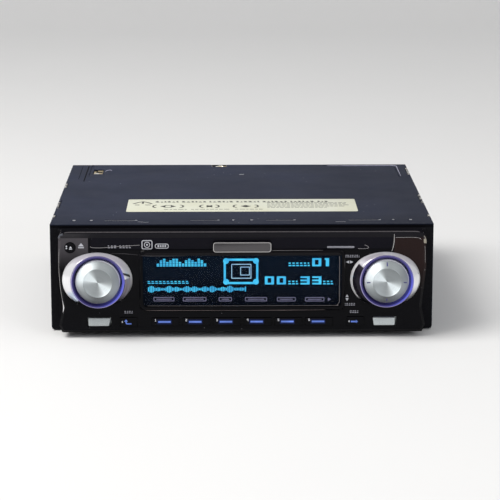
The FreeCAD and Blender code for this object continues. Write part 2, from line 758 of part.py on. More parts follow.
def gear_face(teeth, module, lead, root, play, bore, first):
    """The face of a spur gear in the Y-Z plane. One tooth stands at the angle first."""
    teeth = int(round(teeth))
    pitch = module * teeth / 2
    base = pitch * math.cos(PRESSURE)
    tip, foot = pitch + lead * module, pitch - root * module

    def half_angle(radius):
        shown = max(radius, base)
        swing = involute(PRESSURE) - involute(math.acos(min(base / shown, 1)))
        return math.pi / (2 * teeth) - play / (4 * pitch) + swing

    points = []
    for index in range(teeth):
        middle = first + 2 * math.pi * index / teeth
        corners = ((foot, -1), (tip, -1), (tip, 1), (foot, 1))
        for radius, side in corners:
            angle = middle + side * half_angle(radius)
            points.append(Vector(0, radius * math.cos(angle), radius * math.sin(angle)))
    outline = Part.makePolygon(points + points[:1])
    hole = Part.Wire(Part.makeCircle(bore, Vector(0, 0, 0), Vector(1, 0, 0)))
    return pierced(outline, hole)


def rack_points(teeth, module, lead, root, play, middle, upwards):
    """Corners of rack teeth along Y about the pitch line z = 0. A gap is centred on middle."""
    teeth = int(round(teeth))
    step = math.pi * module
    slope = math.tan(PRESSURE)
    half = step / 4 - play / 4
    start = middle - step * (teeth // 2) + step / 2
    points = []
    for index in range(teeth):
        at = start + step * index
        low, high = half + root * module * slope, half - lead * module * slope
        rise, fall = lead * module, -root * module
        points += [(at - low, fall), (at - high, rise), (at + high, rise), (at + low, fall)]
    return points if upwards else [(y, -z) for y, z in points]


# Chassis


def tab_limits(tabs):
    """(low, high) of each cover tab along Y."""
    limits = []
    for name, centre, length in tabs:
        middle = getattr(d, name + "_centre") - front_u
        half = getattr(d, name + "_length") / 2
        limits.append((middle - half, middle + half))
    return limits


def chassis_case():
    body = new_body("chassis_case")
    half, inside = half_case, inner_half
    inner_bend = d.case_bend - d.sheet
    section = front_sketch(body, front_u)
    trace(section, [
        (-half, cover_z), (-half, d.case_bend), (-half + d.case_bend, ZERO, d.case_bend),
        (half - d.case_bend, ZERO), (half, d.case_bend, d.case_bend), (half, cover_z),
        (inside, cover_z), (inside, d.case_bend), (inside - inner_bend, d.sheet, -inner_bend),
        (-inside + inner_bend, d.sheet), (-inside, d.case_bend, -inner_bend), (-inside, cover_z),
    ])
    pad(body, section, d.case_depth, backwards=True)

    tabs = new_sketch(body, "XY_Plane", cover_z)
    for tabs_of_side, x in ((LEFT_TABS, (-half, -inside)), (RIGHT_TABS, (inside, half))):
        for low, high in tab_limits(tabs_of_side):
            rectangle(tabs, x, (low + d.tab_play, high - d.tab_play))
    pad(body, tabs, d.sheet)

    supports = new_sketch(body, "XY_Plane", d.sheet)
    side = d.lance_side / 2
    front_y, back_y = -d.pcb_front + d.lance_side, rear_y - d.pcb_rear - d.lance_side - side
    for x in (-lance_x, lance_x):
        for y in (front_y, back_y):
            rectangle(supports, (x - side, x + side), (y - side, y + side))
    pad(body, supports, d.pcb_low - d.sheet)

    sides = new_sketch(body, "YZ_Plane", ZERO)
    for side in (-1, 1):
        round_hole(sides, d.side_hole_step_y * side / 2, d.side_hole_z, d.side_hole_radius)
    for index in range(int(d.side_vent_count.value)):
        low = d.side_vent_start + d.side_vent_step * index
        rectangle(sides, (low, low + d.side_vent_width), (d.side_vent_low, d.side_vent_high))
    latch = d.latch_front - front_u
    rectangle(sides, (latch, latch + d.latch_long), (d.latch_low, d.latch_low + d.latch_tall))
    pocket(body, sides, both_ways=True)
    return node(body, "chassis_case")


def top_cover():
    body = new_body("top_cover")
    half, edge = half_case, half_case - d.tab_depth
    plate = new_sketch(body, "XY_Plane", cover_z)
    outline = [(-half, -front_u), (half, -front_u)]
    for low, high in tab_limits(RIGHT_TABS):
        outline += [(half, low), (edge, low), (edge, high), (half, high)]
    notch = (d.notch_wide / 2 - d.notch_x, -d.notch_wide / 2 - d.notch_x)
    outline += [(half, rear_y), (notch[0], rear_y), (notch[0], rear_y - d.notch_deep),
                (notch[1], rear_y - d.notch_deep), (notch[1], rear_y), (-half, rear_y)]
    for low, high in reversed(tab_limits(LEFT_TABS)):
        outline += [(-half, high), (-edge, high), (-edge, low), (-half, low)]
    trace(plate, outline)
    pad(body, plate, d.sheet)

    holes = new_sketch(body, "XY_Plane", d.case_height)
    row = d.row_back - front_u
    wide = d.row_slot_wide / 2
    for x, length in ((d.outer_slot_x, d.outer_slot_long), (d.inner_slot_x, d.inner_slot_long)):
        for side in (-1, 1):
            rectangle(holes, (x * side - length / 2, x * side + length / 2), (row - wide, row + wide))
    window_y = rear_y - d.window_back
    rectangle(holes, (-window_x - d.window_wide / 2, -window_x + d.window_wide / 2),
              (window_y - d.window_long / 2, window_y + d.window_long / 2))
    pocket(body, holes)

    beads = new_sketch(body, "XY_Plane", d.case_height)
    left = -half + d.window_back / 2
    rectangle(beads, (left, left + d.bead_wide), (window_y - d.window_long, rear_y - d.bead_wide))
    right, back = half - d.notch_deep, rear_y - d.bead_wide * 2
    trace(beads, [
        (half / 2, back), (right, back), (right, back - d.window_back * 1.75),
        (right - d.bead_wide, back - d.window_back * 1.75), (right - d.bead_wide, back - d.bead_wide),
        (half / 2, back - d.bead_wide),
    ])
    pocket(body, beads, d.bead_deep)
    return node(body, "top_cover")


def ground_springs():
    """Bare earthing springs that show in the cover's rear window and notch."""
    low = cover_z - d.sheet
    gap = d.spring_play
    window_y = rear_y - d.window_back
    in_window = fuse(
        block((-window_x - d.window_wide / 2 + gap, -window_x + d.window_wide / 2 - gap),
              (window_y - d.window_long / 2 + gap, window_y + d.window_long / 2 - gap),
              (low, d.case_height - gap)),
        block((-inner_half, -window_x), (window_y - d.window_wide / 2, window_y + d.window_wide / 2),
              (low, cover_z)))
    in_notch = block((-d.notch_x - d.notch_wide / 2 + gap, -d.notch_x + d.notch_wide / 2 - gap),
                     (rear_y - d.notch_deep + gap, rear_y - d.sheet), (low - d.sheet, d.case_height - gap))
    return node(group(in_window, in_notch), "ground_springs")


# Nose frame


def arm_window(play, low, high, y):
    """Clear room for one arm, on the right side."""
    half = d.arm_thick / 2 + play
    return block((arm_x - half, arm_x + half), y, (low, high))


def nose_frame():
    """Fixed moulding behind the panel: a hollow face with the disc slot's chute, a flange and a skirt."""
    half, wall = nose_width / 2, d.nose_wall
    z = (d.nose_low, nose_high)
    face = block((-half, half), (-nose_u, -front_u), z)
    rim = d.fit_play * 2
    flange_half = half_case - rim
    flange = block((-flange_half, flange_half), (-front_u - d.sheet, -front_u), (rim, d.case_height - rim))
    skirt_half = inner_half - d.fit_play
    low, high = d.sheet + d.fit_play, cover_z - d.fit_play
    skirt_end = -front_u + d.nose_skirt
    skirt = block((-skirt_half, skirt_half), (-front_u, skirt_end), (low, high))
    hollows = [
        block((-half + wall, half - wall), (-nose_u + wall, -front_u), (z[0] + wall, z[1] - wall)),
        block((-skirt_half + wall, skirt_half - wall), (-front_u, skirt_end), (low + wall, high - wall)),
    ]
    chute = block((-d.slot_half - wall, d.slot_half + wall), (-nose_u, skirt_end),
                  (slot_low - wall, slot_high + wall))
    slot = block((-d.slot_half, d.slot_half), (-nose_u, skirt_end), (slot_low, slot_high))
    flare = doc.addObject("Part::Wedge", "slot_flare")
    grow = d.slot_flare
    limits = {
        "Xmin": -d.slot_half - grow, "Xmax": d.slot_half + grow,
        "Zmin": slot_low - grow, "Zmax": slot_high + grow,
        "X2min": -d.slot_half, "X2max": d.slot_half, "Z2min": slot_low, "Z2max": slot_high,
        "Ymin": -nose_u, "Ymax": -nose_u + grow,
    }
    for prop, size in limits.items():
        bind(flare, prop, size)
    top = d.rack_pitch_z + d.tooth_size + d.arm_play
    arm = arm_window(d.arm_play, d.hinge_z - d.arm_nose - d.arm_play, top, (-nose_u, -front_u))
    shell = fuse(cut(fuse(face, flange, skirt), *hollows), chute)
    return node(cut(shell, slot, flare, arm, mirrored(arm)), "nose_frame")


# Front panel


def panel_outline(sketch, inset, corner=True):
    """Outline of the panel, drawn in by inset. The sides have a grip notch near the foot."""
    top, foot = panel_high - inset, d.panel_low + inset
    halves = (
        (panel_half_foot - inset - d.panel_corner, foot),
        (panel_half_foot - inset, d.panel_foot_z),
        (panel_half_waist - inset, d.panel_waist_z),
        (panel_half_middle - inset, d.panel_middle_z),
        (panel_half_top - inset, top - d.panel_corner),
    )
    last = (panel_half_top - inset - d.panel_corner, top, d.panel_corner)
    left_first = (-(panel_half_top - inset - d.panel_corner), top)
    left_corner = (-(panel_half_top - inset), top - d.panel_corner, d.panel_corner)
    left = [(-x, z) for x, z in reversed(halves[:-1])]
    trace(sketch, list(halves) + [last, left_first, left_corner] + left)


def soft_key_x(index):
    return soft_step * (index - 2.5)


def key_places():
    """(name, centre x, centre z, half width, half height) of every key."""
    places = []
    for index in range(6):
        places.append(("soft_key_%d" % (index + 1), soft_key_x(index), d.key_z,
                       soft_wide / 2, d.soft_tall / 2))
    places.append(("back_key", -arrow_x, d.key_z, d.arrow_wide / 2, d.arrow_tall / 2))
    places.append(("next_key", arrow_x, d.key_z, d.arrow_wide / 2, d.arrow_tall / 2))
    places.append(("silver_key_left", -silver_x, d.key_z, d.silver_wide / 2, d.silver_tall / 2))
    places.append(("silver_key_right", silver_x, d.key_z, d.silver_wide / 2, d.silver_tall / 2))
    return places


def panel_shell():
    body = new_body("panel_shell")
    outline = front_sketch(body, plate_u)
    panel_outline(outline, ZERO)
    first = pad(body, outline, face_u - plate_u)
    doc.recompute()
    rim = edges_at(first.Shape, "Y", -face_u.value)
    bevelled = chamfer(body, first, rim, d.panel_bevel)

    raised = front_sketch(body, face_u)
    rectangle(raised, (-display_half, display_half), (d.display_low, display_high), d.display_corner)
    proud = pad(body, raised, d.display_proud)
    doc.recompute()
    chamfer(body, proud, edges_at(proud.Shape, "Y", -block_u.value), d.display_bevel)

    hollow = front_sketch(body, plate_u)
    panel_outline(hollow, d.panel_wall)
    pocket(body, hollow, wall_u - plate_u, towards_normal=True)

    strip = front_sketch(body, face_u)
    rectangle(strip, (-strip_half, strip_half), (display_high, panel_high + d.panel_corner))
    pocket(body, strip, d.strip_deep)
    seat = front_sketch(body, face_u - d.strip_deep)
    rectangle(seat, (-d.badge_half, d.badge_half), (badge_low, badge_high), d.display_bevel)
    pocket(body, seat, d.badge_deep)

    openings = front_sketch(body, block_u + d.display_proud)
    rectangle(openings, (-lens_half, lens_half), (d.lens_low, lens_high), d.lens_corner)
    for x in (-knob_x, knob_x):
        octagon(openings, x, knob_z, d.ring_outer + d.well_play)
    for name, x, z, half_x, half_z in key_places():
        play = d.key_play
        rectangle(openings, (x - half_x - play, x + half_x + play), (z - half_z - play, z + half_z + play))
    round_hole(openings, -open_x, open_z, d.open_radius + d.key_play)
    pocket(body, openings)
    return node(body, "panel_shell")


def panel_back():
    body = new_body("panel_back")
    outline = front_sketch(body, back_u)
    panel_outline(outline, ZERO)
    pad(body, outline, d.back_sheet)
    plate = body
    reach = d.arm_nose + d.hinge_inset
    z = (d.hinge_z - d.arm_nose, d.hinge_z + d.arm_nose)
    inner = arm_x - d.arm_thick / 2 - d.arm_play
    y = (-back_u - reach, -back_u)
    ear = block((inner - d.ear_thick, inner), y, z)
    bosses = []
    for x in (-display_half, display_half):
        for height in (d.display_low, display_high):
            bosses.append(block((x - d.ear_thick, x + d.ear_thick), (-board_u, -plate_u),
                                (height - d.ear_thick, height + d.ear_thick)))
    swing = d.hinge_inset * 4
    room = arm_window(d.arm_play, z[0] - d.arm_play, d.hinge_z + swing + d.arm_play, y)
    hole = rod("x", d.hinge_pin + d.hinge_play, (inner - d.ear_thick, inner), (-hinge_u, d.hinge_z))
    joined = fuse(plate, ear, mirrored(ear), *bosses)
    return node(cut(joined, room, mirrored(room), hole, mirrored(hole)), "panel_back")


def display_lens():
    body = new_body("display_lens")
    gap = d.lens_play
    outline = front_sketch(body, wall_u)
    rectangle(outline, (-lens_half + gap, lens_half - gap), (d.lens_low + gap, lens_high - gap),
              d.lens_corner - gap)
    pad(body, outline, block_u - d.lens_sunk - wall_u)
    return node(body, "display_lens")


def display_module():
    grow = d.panel_wall / 2
    holder = block((-lens_half - grow, lens_half + grow), (-wall_u, -board_front_u),
                   (d.lens_low - grow, lens_high + grow))
    return node(holder, "display_module")


def panel_board():
    y = (-board_front_u, -board_u)
    middle = block((-board_half, board_half), y, (d.board_low, board_high))
    wings = block((-board_wing_half, board_wing_half), y, (d.board_wing_low, board_high))
    return node(fuse(middle, wings), "panel_board")


def key_switches():
    half = d.switch_side / 2
    items = []
    for name, x, z, half_x, half_z in key_places():
        low = d.board_low
        items.append(block((x - half, x + half), (-switch_u, -board_front_u), (low, low + d.switch_side)))
    high = board_high
    x = -open_x + half - d.key_lip
    items.append(block((x - half, x + half), (-switch_u, -board_front_u), (high - d.switch_side, high)))
    return node(group(*items), "key_switches")


def push_key(x, z, half_x, half_z):
    """A key: its cap in the opening, a retaining flange behind the wall and a stem to its switch."""
    front = face_u + d.key_proud
    cap = block((x - half_x, x + half_x), (-front, -flange_u), (z - half_z, z + half_z))
    lip = d.key_lip
    low = d.panel_low + d.panel_wall + d.key_slack
    flange = block((x - half_x - lip, x + half_x + lip), (-flange_u, -flange_u + d.key_flange),
                   (low, z + half_z + lip))
    side = d.key_stem_side / 2
    stem_z = d.board_low + d.switch_side / 2
    end = switch_u + d.key_travel + d.key_slack
    stem = block((x - side, x + side), (-flange_u, -end), (stem_z - side, stem_z + side))
    return fuse(cap, flange, stem)


def push_node(name, x, z, half_x, half_z):
    return node(push_key(x, z, half_x, half_z), name)


def soft_key(name, x, z, half_x, half_z):
    front = face_u + d.key_proud
    bar = block((x - d.bar_wide / 2, x + d.bar_wide / 2), (-front, -front + d.bar_deep),
                (z - d.bar_tall / 2, z + d.bar_tall / 2))
    return node(cut(push_key(x, z, half_x, half_z), bar), name)


def silver_key(name, x, z, half_x, half_z):
    """A silver key with a slanted end towards the middle of the unit."""
    key = push_key(x, z, half_x, half_z)
    front = face_u + d.key_proud
    side = 1 if x.value < 0 else -1
    end = x + half_x * side
    wedge = doc.addObject("Part::Wedge", "key_end")
    low, high = (end - d.silver_end, end) if side > 0 else (end, end + d.silver_end)
    limits = {
        "Ymin": -front, "Ymax": -face_u, "Zmin": z - half_z, "Zmax": z - half_z + d.silver_end,
        "Xmin": low, "Xmax": high, "Z2min": z - half_z, "Z2max": z - half_z + d.silver_end / 10,
        "X2min": low, "X2max": high,
    }
    for prop, size in limits.items():
        bind(wedge, prop, size)
    return node(cut(key, wedge), name)


def open_key():
    x, z = -open_x, open_z
    front = face_u + d.key_proud
    side = d.key_stem_side / 2
    stem_z = board_high - d.switch_side / 2
    end = switch_u + d.key_travel + d.key_slack
    cap = rod("y", d.open_radius, (-front, -flange_u), (x, z))
    wide = d.open_radius + d.key_lip
    flange = block((x - wide, x + wide), (-flange_u, -flange_u + d.key_flange), (z - wide, z + wide))
    stem = block((x - side, x + side), (-flange_u, -end), (stem_z - side, stem_z + side))
    return node(fuse(cap, flange, stem), "open_key")


def bezel_oval(sketch, slope):
    """An oval of two end arcs and two flatter arcs that meet them smoothly."""
    wide, tall, end = d.bezel_half_x - slope, d.bezel_half_z - slope, d.bezel_end - slope
    offset = wide - end
    broad = (offset * offset + tall * tall - end * end) / ((tall - end) * 2)
    drop = broad - tall
    run = broad - end
    x, z = broad * offset / run, broad * drop / run - drop
    trace(sketch, [(x, z, end), (-x, z, broad), (-x, -z, end), (x, -z, broad)])


def bezel(x):
    body = new_body("bezel")
    low = front_sketch(body, face_u)
    bezel_oval(low, ZERO)
    high = front_sketch(body, face_u + d.bezel_thick)
    bezel_oval(high, d.bezel_slope)
    loft = body.newObject("PartDesign::AdditiveLoft", "bezel_loft")
    loft.Profile = low
    loft.Sections = [high]
    loft.Ruled = True
    hole = front_sketch(body, face_u + d.bezel_thick)
    round_hole(hole, ZERO, ZERO, d.ring_outer + d.well_play)
    pocket(body, hole)
    return place(body, x=x, z=knob_z)


def light_ring(x):
    end = -front_u - d.ring_front
    return turned("light_ring", "y", [
        (end, d.ring_inner), (-board_front_u, d.ring_inner), (-board_front_u, d.ring_outer),
        (end, d.ring_outer),
    ], x=x, z=knob_z)


def knob_trim():
    """A bezel and a light ring round each knob."""
    sides = (-knob_x, knob_x)
    node(group(*[bezel(x) for x in sides]), "bezels")
    node(group(*[light_ring(x) for x in sides]), "light_rings")


def knob_cap(name, x):
    crest, back = -knob_u, -front_u - d.knob_back
    return node(turned(name, "y", [
        (crest + d.disc_sunk, ZERO), (crest + d.disc_sunk, d.disc_radius), (crest, d.disc_radius),
        (crest + d.land_drop, d.knob_radius), (back, d.knob_radius), (back, d.knob_bore),
        (crest + d.knob_wall, d.knob_bore), (crest + d.knob_wall, ZERO),
    ], x=x, z=knob_z), name)


def volume_encoder():
    x, half = -knob_x, d.encoder_side / 2
    body_u = board_front_u + d.encoder_deep
    case = block((x - half, x + half), (-body_u, -board_front_u), (knob_z - half, knob_z + half))
    bore = rod("y", d.shaft_radius + d.shaft_play, (-body_u, -board_front_u - d.shaft_tail), (x, knob_z))
    return node(cut(case, bore), "volume_encoder")


def volume_shaft():
    end = -board_front_u - d.shaft_tail - d.shaft_play
    return node(rod("y", d.shaft_radius, (-knob_u + d.knob_wall, end), (-knob_x, knob_z)),
                "volume_shaft")


def knob_box(half, y):
    """A square box about the right knob's axis."""
    x, z = knob_x, knob_z
    return block((x - half, x + half), y, (z - half, z + half))


def cross_base():
    """Base of the four-way switch: a square cup with two open notches for the gimbal's trunnions."""
    half = d.stick_side / 2
    front = board_front_u + d.stick_deep
    pivot = board_front_u + d.stick_pivot
    case = knob_box(half, (-front, -board_front_u))
    well = knob_box(d.stick_well, (-front, -board_front_u - d.stick_floor))
    room = d.trunnion + d.shaft_play
    notch = block((knob_x - room, knob_x + room), (-front, -pivot + room), (knob_z - half, knob_z + half))
    return node(cut(case, well, notch), "cross_base")


def cross_gimbal():
    """Frame that tilts in the base about an upright axis and carries the stem's level axis."""
    pivot = board_front_u + d.stick_pivot
    y = (-pivot - d.gimbal_thick / 2, -pivot + d.gimbal_thick / 2)
    reach = d.stick_side / 2 - d.key_slack
    pins = rod("z", d.trunnion, (knob_z - reach, knob_z + reach), (knob_x, -pivot))
    room = d.trunnion + d.shaft_play
    notch = block((knob_x - d.gimbal_outer, knob_x + d.gimbal_outer), (y[0], -pivot + room),
                  (knob_z - room, knob_z + room))
    frame = fuse(knob_box(d.gimbal_outer, y), pins)
    return node(cut(frame, knob_box(d.gimbal_inner, y), notch), "cross_gimbal")


def cross_stem():
    """Stem of the four-way knob, with a level trunnion in the gimbal frame."""
    x = knob_x
    pivot = board_front_u + d.stick_pivot
    reach = d.gimbal_outer - d.key_slack
    stem = rod("y", d.shaft_radius, (-knob_u + d.knob_wall, -pivot + d.gimbal_thick / 2), (x, knob_z))
    pins = rod("x", d.trunnion, (x - reach, x + reach), (-pivot, knob_z))
    return node(fuse(stem, pins), "cross_stem")


# Panel drive


def panel_arms():
    """Two flat arms with a hinge pin riveted in their rounded end and a rack on their upper edge."""
    module = d.tooth_size.value
    low, pitch_z = d.hinge_z.value - d.arm_nose.value, d.rack_pitch_z.value
    hinge, radius = -hinge_u.value, d.arm_nose.value
    rear = hinge + d.arm_long.value
    mesh = -front_u.value + d.drive_inset.value
    step = math.pi * module
    teeth = rack_points(d.rack_teeth.value, module, d.tooth_lead.value, d.tooth_root.value,
                        d.tooth_play.value, mesh + step * (int(d.rack_teeth.value) // 2 - 2), True)
    top = d.hinge_z.value + radius
    foot = pitch_z - d.tooth_root.value * module
    step_y = teeth[0][0] - radius
    outline = [Vector(0, hinge, top), Vector(0, step_y, top), Vector(0, step_y, foot)]
    outline += [Vector(0, y, pitch_z + z) for y, z in teeth]
    outline += [Vector(0, rear, foot), Vector(0, rear, low), Vector(0, hinge, low)]
    edges = [Part.makeLine(a, b) for a, b in zip(outline, outline[1:])]
    nose = Part.Arc(outline[-1], Vector(0, hinge - radius, d.hinge_z.value), outline[0])
    face = Part.Face(Part.Wire(edges + [nose.toShape()]))
    arm = shaped("panel_arm", face.extrude(Vector(d.arm_thick.value, 0, 0)), x=arm_x - d.arm_thick / 2)
    inner = d.arm_thick / 2 + d.arm_play + d.ear_thick
    pin = rod("x", d.hinge_pin, (arm_x - inner, arm_x), (-hinge_u, d.hinge_z))
    return node(both(fuse(arm, pin)), "panel_arms")


def drive_axis():
    """(y, z) of the cross shaft."""
    pinion_pitch = d.tooth_size * d.rack_pinion_teeth / 2
    return d.drive_inset - front_u, d.rack_pitch_z + pinion_pitch


def arm_guides():
    """Channels on the floor that carry the arms, with the bearings of the cross shaft."""
    half = d.arm_thick / 2 + d.arm_play
    wall = d.guide_wall
    y = (d.guide_front - front_u, d.guide_front + d.guide_long - front_u)
    x = (arm_x - half - wall, arm_x + half + wall)
    rail = block(x, y, (d.sheet, d.guide_high))
    room = block((arm_x - half, arm_x + half), y,
                 (d.hinge_z - d.arm_nose - d.guide_play, d.guide_high))
    shaft_y, shaft_z = drive_axis()
    top = shaft_z + d.drive_shaft_radius + d.bearing_wall
    post = block((x[0], x[0] + wall), (shaft_y - d.bearing_half, shaft_y + d.bearing_half), (d.sheet, top))
    bore = rod("x", d.drive_shaft_radius + d.shaft_play, (x[0] - wall, x[0] + wall * 2), (shaft_y, shaft_z))
    return node(both(cut(fuse(cut(rail, room), post), bore)), "arm_guides")


def drive_shaft():
    """Cross shaft with the gear of the motor stage and the two rack pinions fixed on it."""
    y, z = drive_axis()
    reach = arm_x + d.pinion_wide / 2
    shaft = rod("x", d.drive_shaft_radius, (-reach, reach), (y, z))
    bore, play = d.drive_shaft_radius.value, d.tooth_play.value
    lead, root = d.tooth_lead.value, d.tooth_root.value
    down = -math.pi / 2
    pinion = gear_face(d.rack_pinion_teeth.value, d.tooth_size.value, lead, root, play, bore, down)
    small = shaped("rack_pinion", pinion.extrude(Vector(d.pinion_wide.value, 0, 0)),
                   x=arm_x - d.pinion_wide / 2, y=y, z=z)
    wheel = gear_face(d.drive_gear_teeth.value, d.motor_tooth_size.value, lead, root, play, bore, 0)
    large = shaped("drive_gear", wheel.extrude(Vector(d.drive_gear_wide.value, 0, 0)),
                   x=-drive_gear_x, y=y, z=z)
    return node(fuse(shaft, small, mirrored(small), large), "drive_shaft")


def motor_axis():
    """(y, z) of the panel motor, level with the cross shaft and behind it."""
    y, z = drive_axis()
    return y + d.motor_tooth_size * (d.drive_gear_teeth + d.motor_pinion_teeth) / 2, z


def motor_pinion():
    y, z = motor_axis()
    teeth = d.motor_pinion_teeth.value
    half_step = math.pi / teeth
    first = math.pi + half_step
    face = gear_face(teeth, d.motor_tooth_size.value, d.tooth_lead.value, d.tooth_root.value,
                     d.tooth_play.value, d.motor_shaft.value, first)
    item = shaped("motor_wheel", face.extrude(Vector(d.drive_gear_wide.value, 0, 0)),
                  x=-drive_gear_x, y=y, z=z)
    shaft = rod("x", d.motor_shaft, (-drive_gear_x, -drive_gear_x + d.drive_gear_wide * 2), (y, z))
    return node(fuse(item, shaft), "motor_pinion")


def panel_motor():
    """Square-sided motor on a foot, with a bearing hole for its shaft."""
    y, z = motor_axis()
    start = -drive_gear_x + d.drive_gear_wide + d.bearing_wall
    half = d.motor_half
    can = block((start, start + d.motor_long), (y - half, y + half), (z - half, z + half))
    foot = block((start + d.bearing_wall, start + d.motor_long - d.bearing_wall),
                 (y - d.bearing_half, y + d.bearing_half), (d.sheet, z))
    hole = rod("x", d.motor_shaft + d.shaft_play,
               (start, -drive_gear_x + d.drive_gear_wide * 2 + d.shaft_play), (y, z))
    return node(cut(fuse(can, foot), hole), "panel_motor")


# Disc mechanism


def ear_spans():
    """(low, high) along Y of the front and rear ears."""
    half = d.ear_long / 2
    return ((-d.front_ear_y - half, -d.front_ear_y + half), (d.rear_ear_y - half, d.rear_ear_y + half))


def deck_frame():
    """Base plate with four ears, side walls with upright slots, and seats for rails and screw."""
    z = (d.deck_low, deck_top)
    start = d.deck_front - front_u
    plate = block((-d.deck_half, d.deck_half), (start, start + d.deck_long), z)
    parts = [plate]
    for span in ear_spans():
        parts.append(block((-d.deck_half - d.ear_reach, d.deck_half + d.ear_reach), span, z))
    wall_x = (d.deck_half - d.sheet, d.deck_half)
    wall = block(wall_x, (start, -d.rear_lug_y + d.cam_travel * 2), (d.deck_low, deck_wall_high))
    parts += [wall, mirrored(wall)]
    for y in ((-d.rail_front - d.rail_seat, -d.rail_front), (rail_rear, rail_rear + d.rail_seat)):
        seat = block((d.rail_x - d.rail_radius * 2, d.rail_x + d.rail_radius * 2), y,
                     (deck_top, d.rail_z + d.rail_radius * 2))
        parts += [seat, mirrored(seat)]
    y = (-d.rail_front - d.rail_seat, -d.rail_front)
    reach = d.screw_radius * 2
    parts.append(block((-d.screw_x - reach, -d.rail_x), y, (deck_top, d.screw_z + reach)))
    tools = []
    z_low = holder_z() - d.holder_drop
    room = d.lug_half + d.lug_play
    for lug_y in (-d.front_lug_y, -d.rear_lug_y):
        tools.append(block(wall_x, (lug_y - room, lug_y + room), (z_low - room, deck_wall_high)))
    tools += [mirrored(tool) for tool in tools]
    tools.append(rod("y", d.screw_radius + d.shaft_play, y, (-d.screw_x, d.screw_z)))
    tools.append(rod("z", d.spindle_hole, z, (ZERO, -d.spindle_y)))
    return node(cut(fuse(*parts), *tools), "deck_frame")


def damper_x():
    return d.deck_half + d.ear_reach - d.damper_inset


def deck_brackets():
    """Four angles on the chassis walls that carry the mechanism."""
    low = d.deck_low - d.damper_high - d.sheet
    items = []
    for span in ear_spans():
        shelf = block((d.deck_half + d.sheet * 2, inner_half), span, (low, low + d.sheet))
        flange = block((inner_half - d.sheet, inner_half), span, (low - d.ear_long, low + d.sheet))
        angle = fuse(shelf, flange)
        items += [angle, mirrored(angle)]
    return node(group(*items), "deck_brackets")


def deck_dampers():
    items = []
    z = (d.deck_low - d.damper_high, d.deck_low)
    for span in ear_spans():
        x, y, half = damper_x(), (span[0] + span[1]) / 2, d.damper_side / 2
        damper = block((x - half, x + half), (y - half, y + half), z)
        items += [damper, mirrored(damper)]
    return node(group(*items), "deck_dampers")


def spindle_motor():
    at, half = (ZERO, -d.spindle_y), d.spindle_can
    can = block((-half, half), (at[1] - half, at[1] + half), (d.deck_low - d.spindle_deep, d.deck_low))
    bore = rod("z", d.spindle_shaft + d.shaft_play, (d.deck_low - d.spindle_deep / 2, d.deck_low), at)
    return node(cut(can, bore), "spindle_motor")


def turntable():
    low = d.deck_low - d.spindle_deep / 2 + d.shaft_play
    return node(turned("turntable", "z", [
        (low, ZERO), (low, d.spindle_shaft), (d.table_low, d.spindle_shaft),
        (d.table_low, d.table_radius), (d.table_high, d.table_radius), (d.table_high, ZERO),
    ], y=-d.spindle_y), "turntable")


def holder_z():
    """Height of the holder's lugs on entry."""
    return cartridge_low + d.cartridge_thick / 2


def holder_inner():
    """Half width, and lowest and highest z, of the room inside the holder."""
    play = d.cartridge_play
    return (d.cartridge_wide / 2 + play, cartridge_low - play / 2,
            cartridge_low + d.cartridge_thick + play / 2)


def cartridge_holder():
    """Sheet holder for the disc cartridge, open in front and below, with two bent lugs a side."""
    half, low, high = holder_inner()
    sheet = d.holder_sheet
    rear = -d.spindle_y + d.cartridge_deep / 2
    y = (rear - d.cartridge_deep - d.sheet, rear)
    outer = block((-half - sheet, half + sheet), y, (low - sheet, high + sheet))
    room = block((-half, half), (y[0], rear - sheet), (low, high))
    under = block((-half + d.holder_lip, half - d.holder_lip), y, (low - sheet, high))
    parts = [cut(outer, room, under)]
    reach = d.deck_half - d.cam_play
    for lug_y in (-d.front_lug_y, -d.rear_lug_y):
        lug = block((half, reach), (lug_y - d.lug_half, lug_y + d.lug_half),
                    (holder_z() - d.lug_half, holder_z() + d.lug_half))
        parts += [lug, mirrored(lug)]
    return node(fuse(*parts), "cartridge_holder")


def slanted_slot(radius, start, end, x):
    """A slanted slot with square ends in the Y-Z plane as a solid, from start to end, each (y, z)."""
    along = Vector(0, end[0] - start[0], end[1] - start[1]).normalize() * radius
    side = Vector(0, -along.z, along.y)
    first, last = Vector(x[0], *start) - along, Vector(x[0], *end) + along
    corners = [first + side, last + side, last - side, first - side]
    return Part.Face(Part.makePolygon(corners + corners[:1])).extrude(Vector(x[1] - x[0], 0, 0))


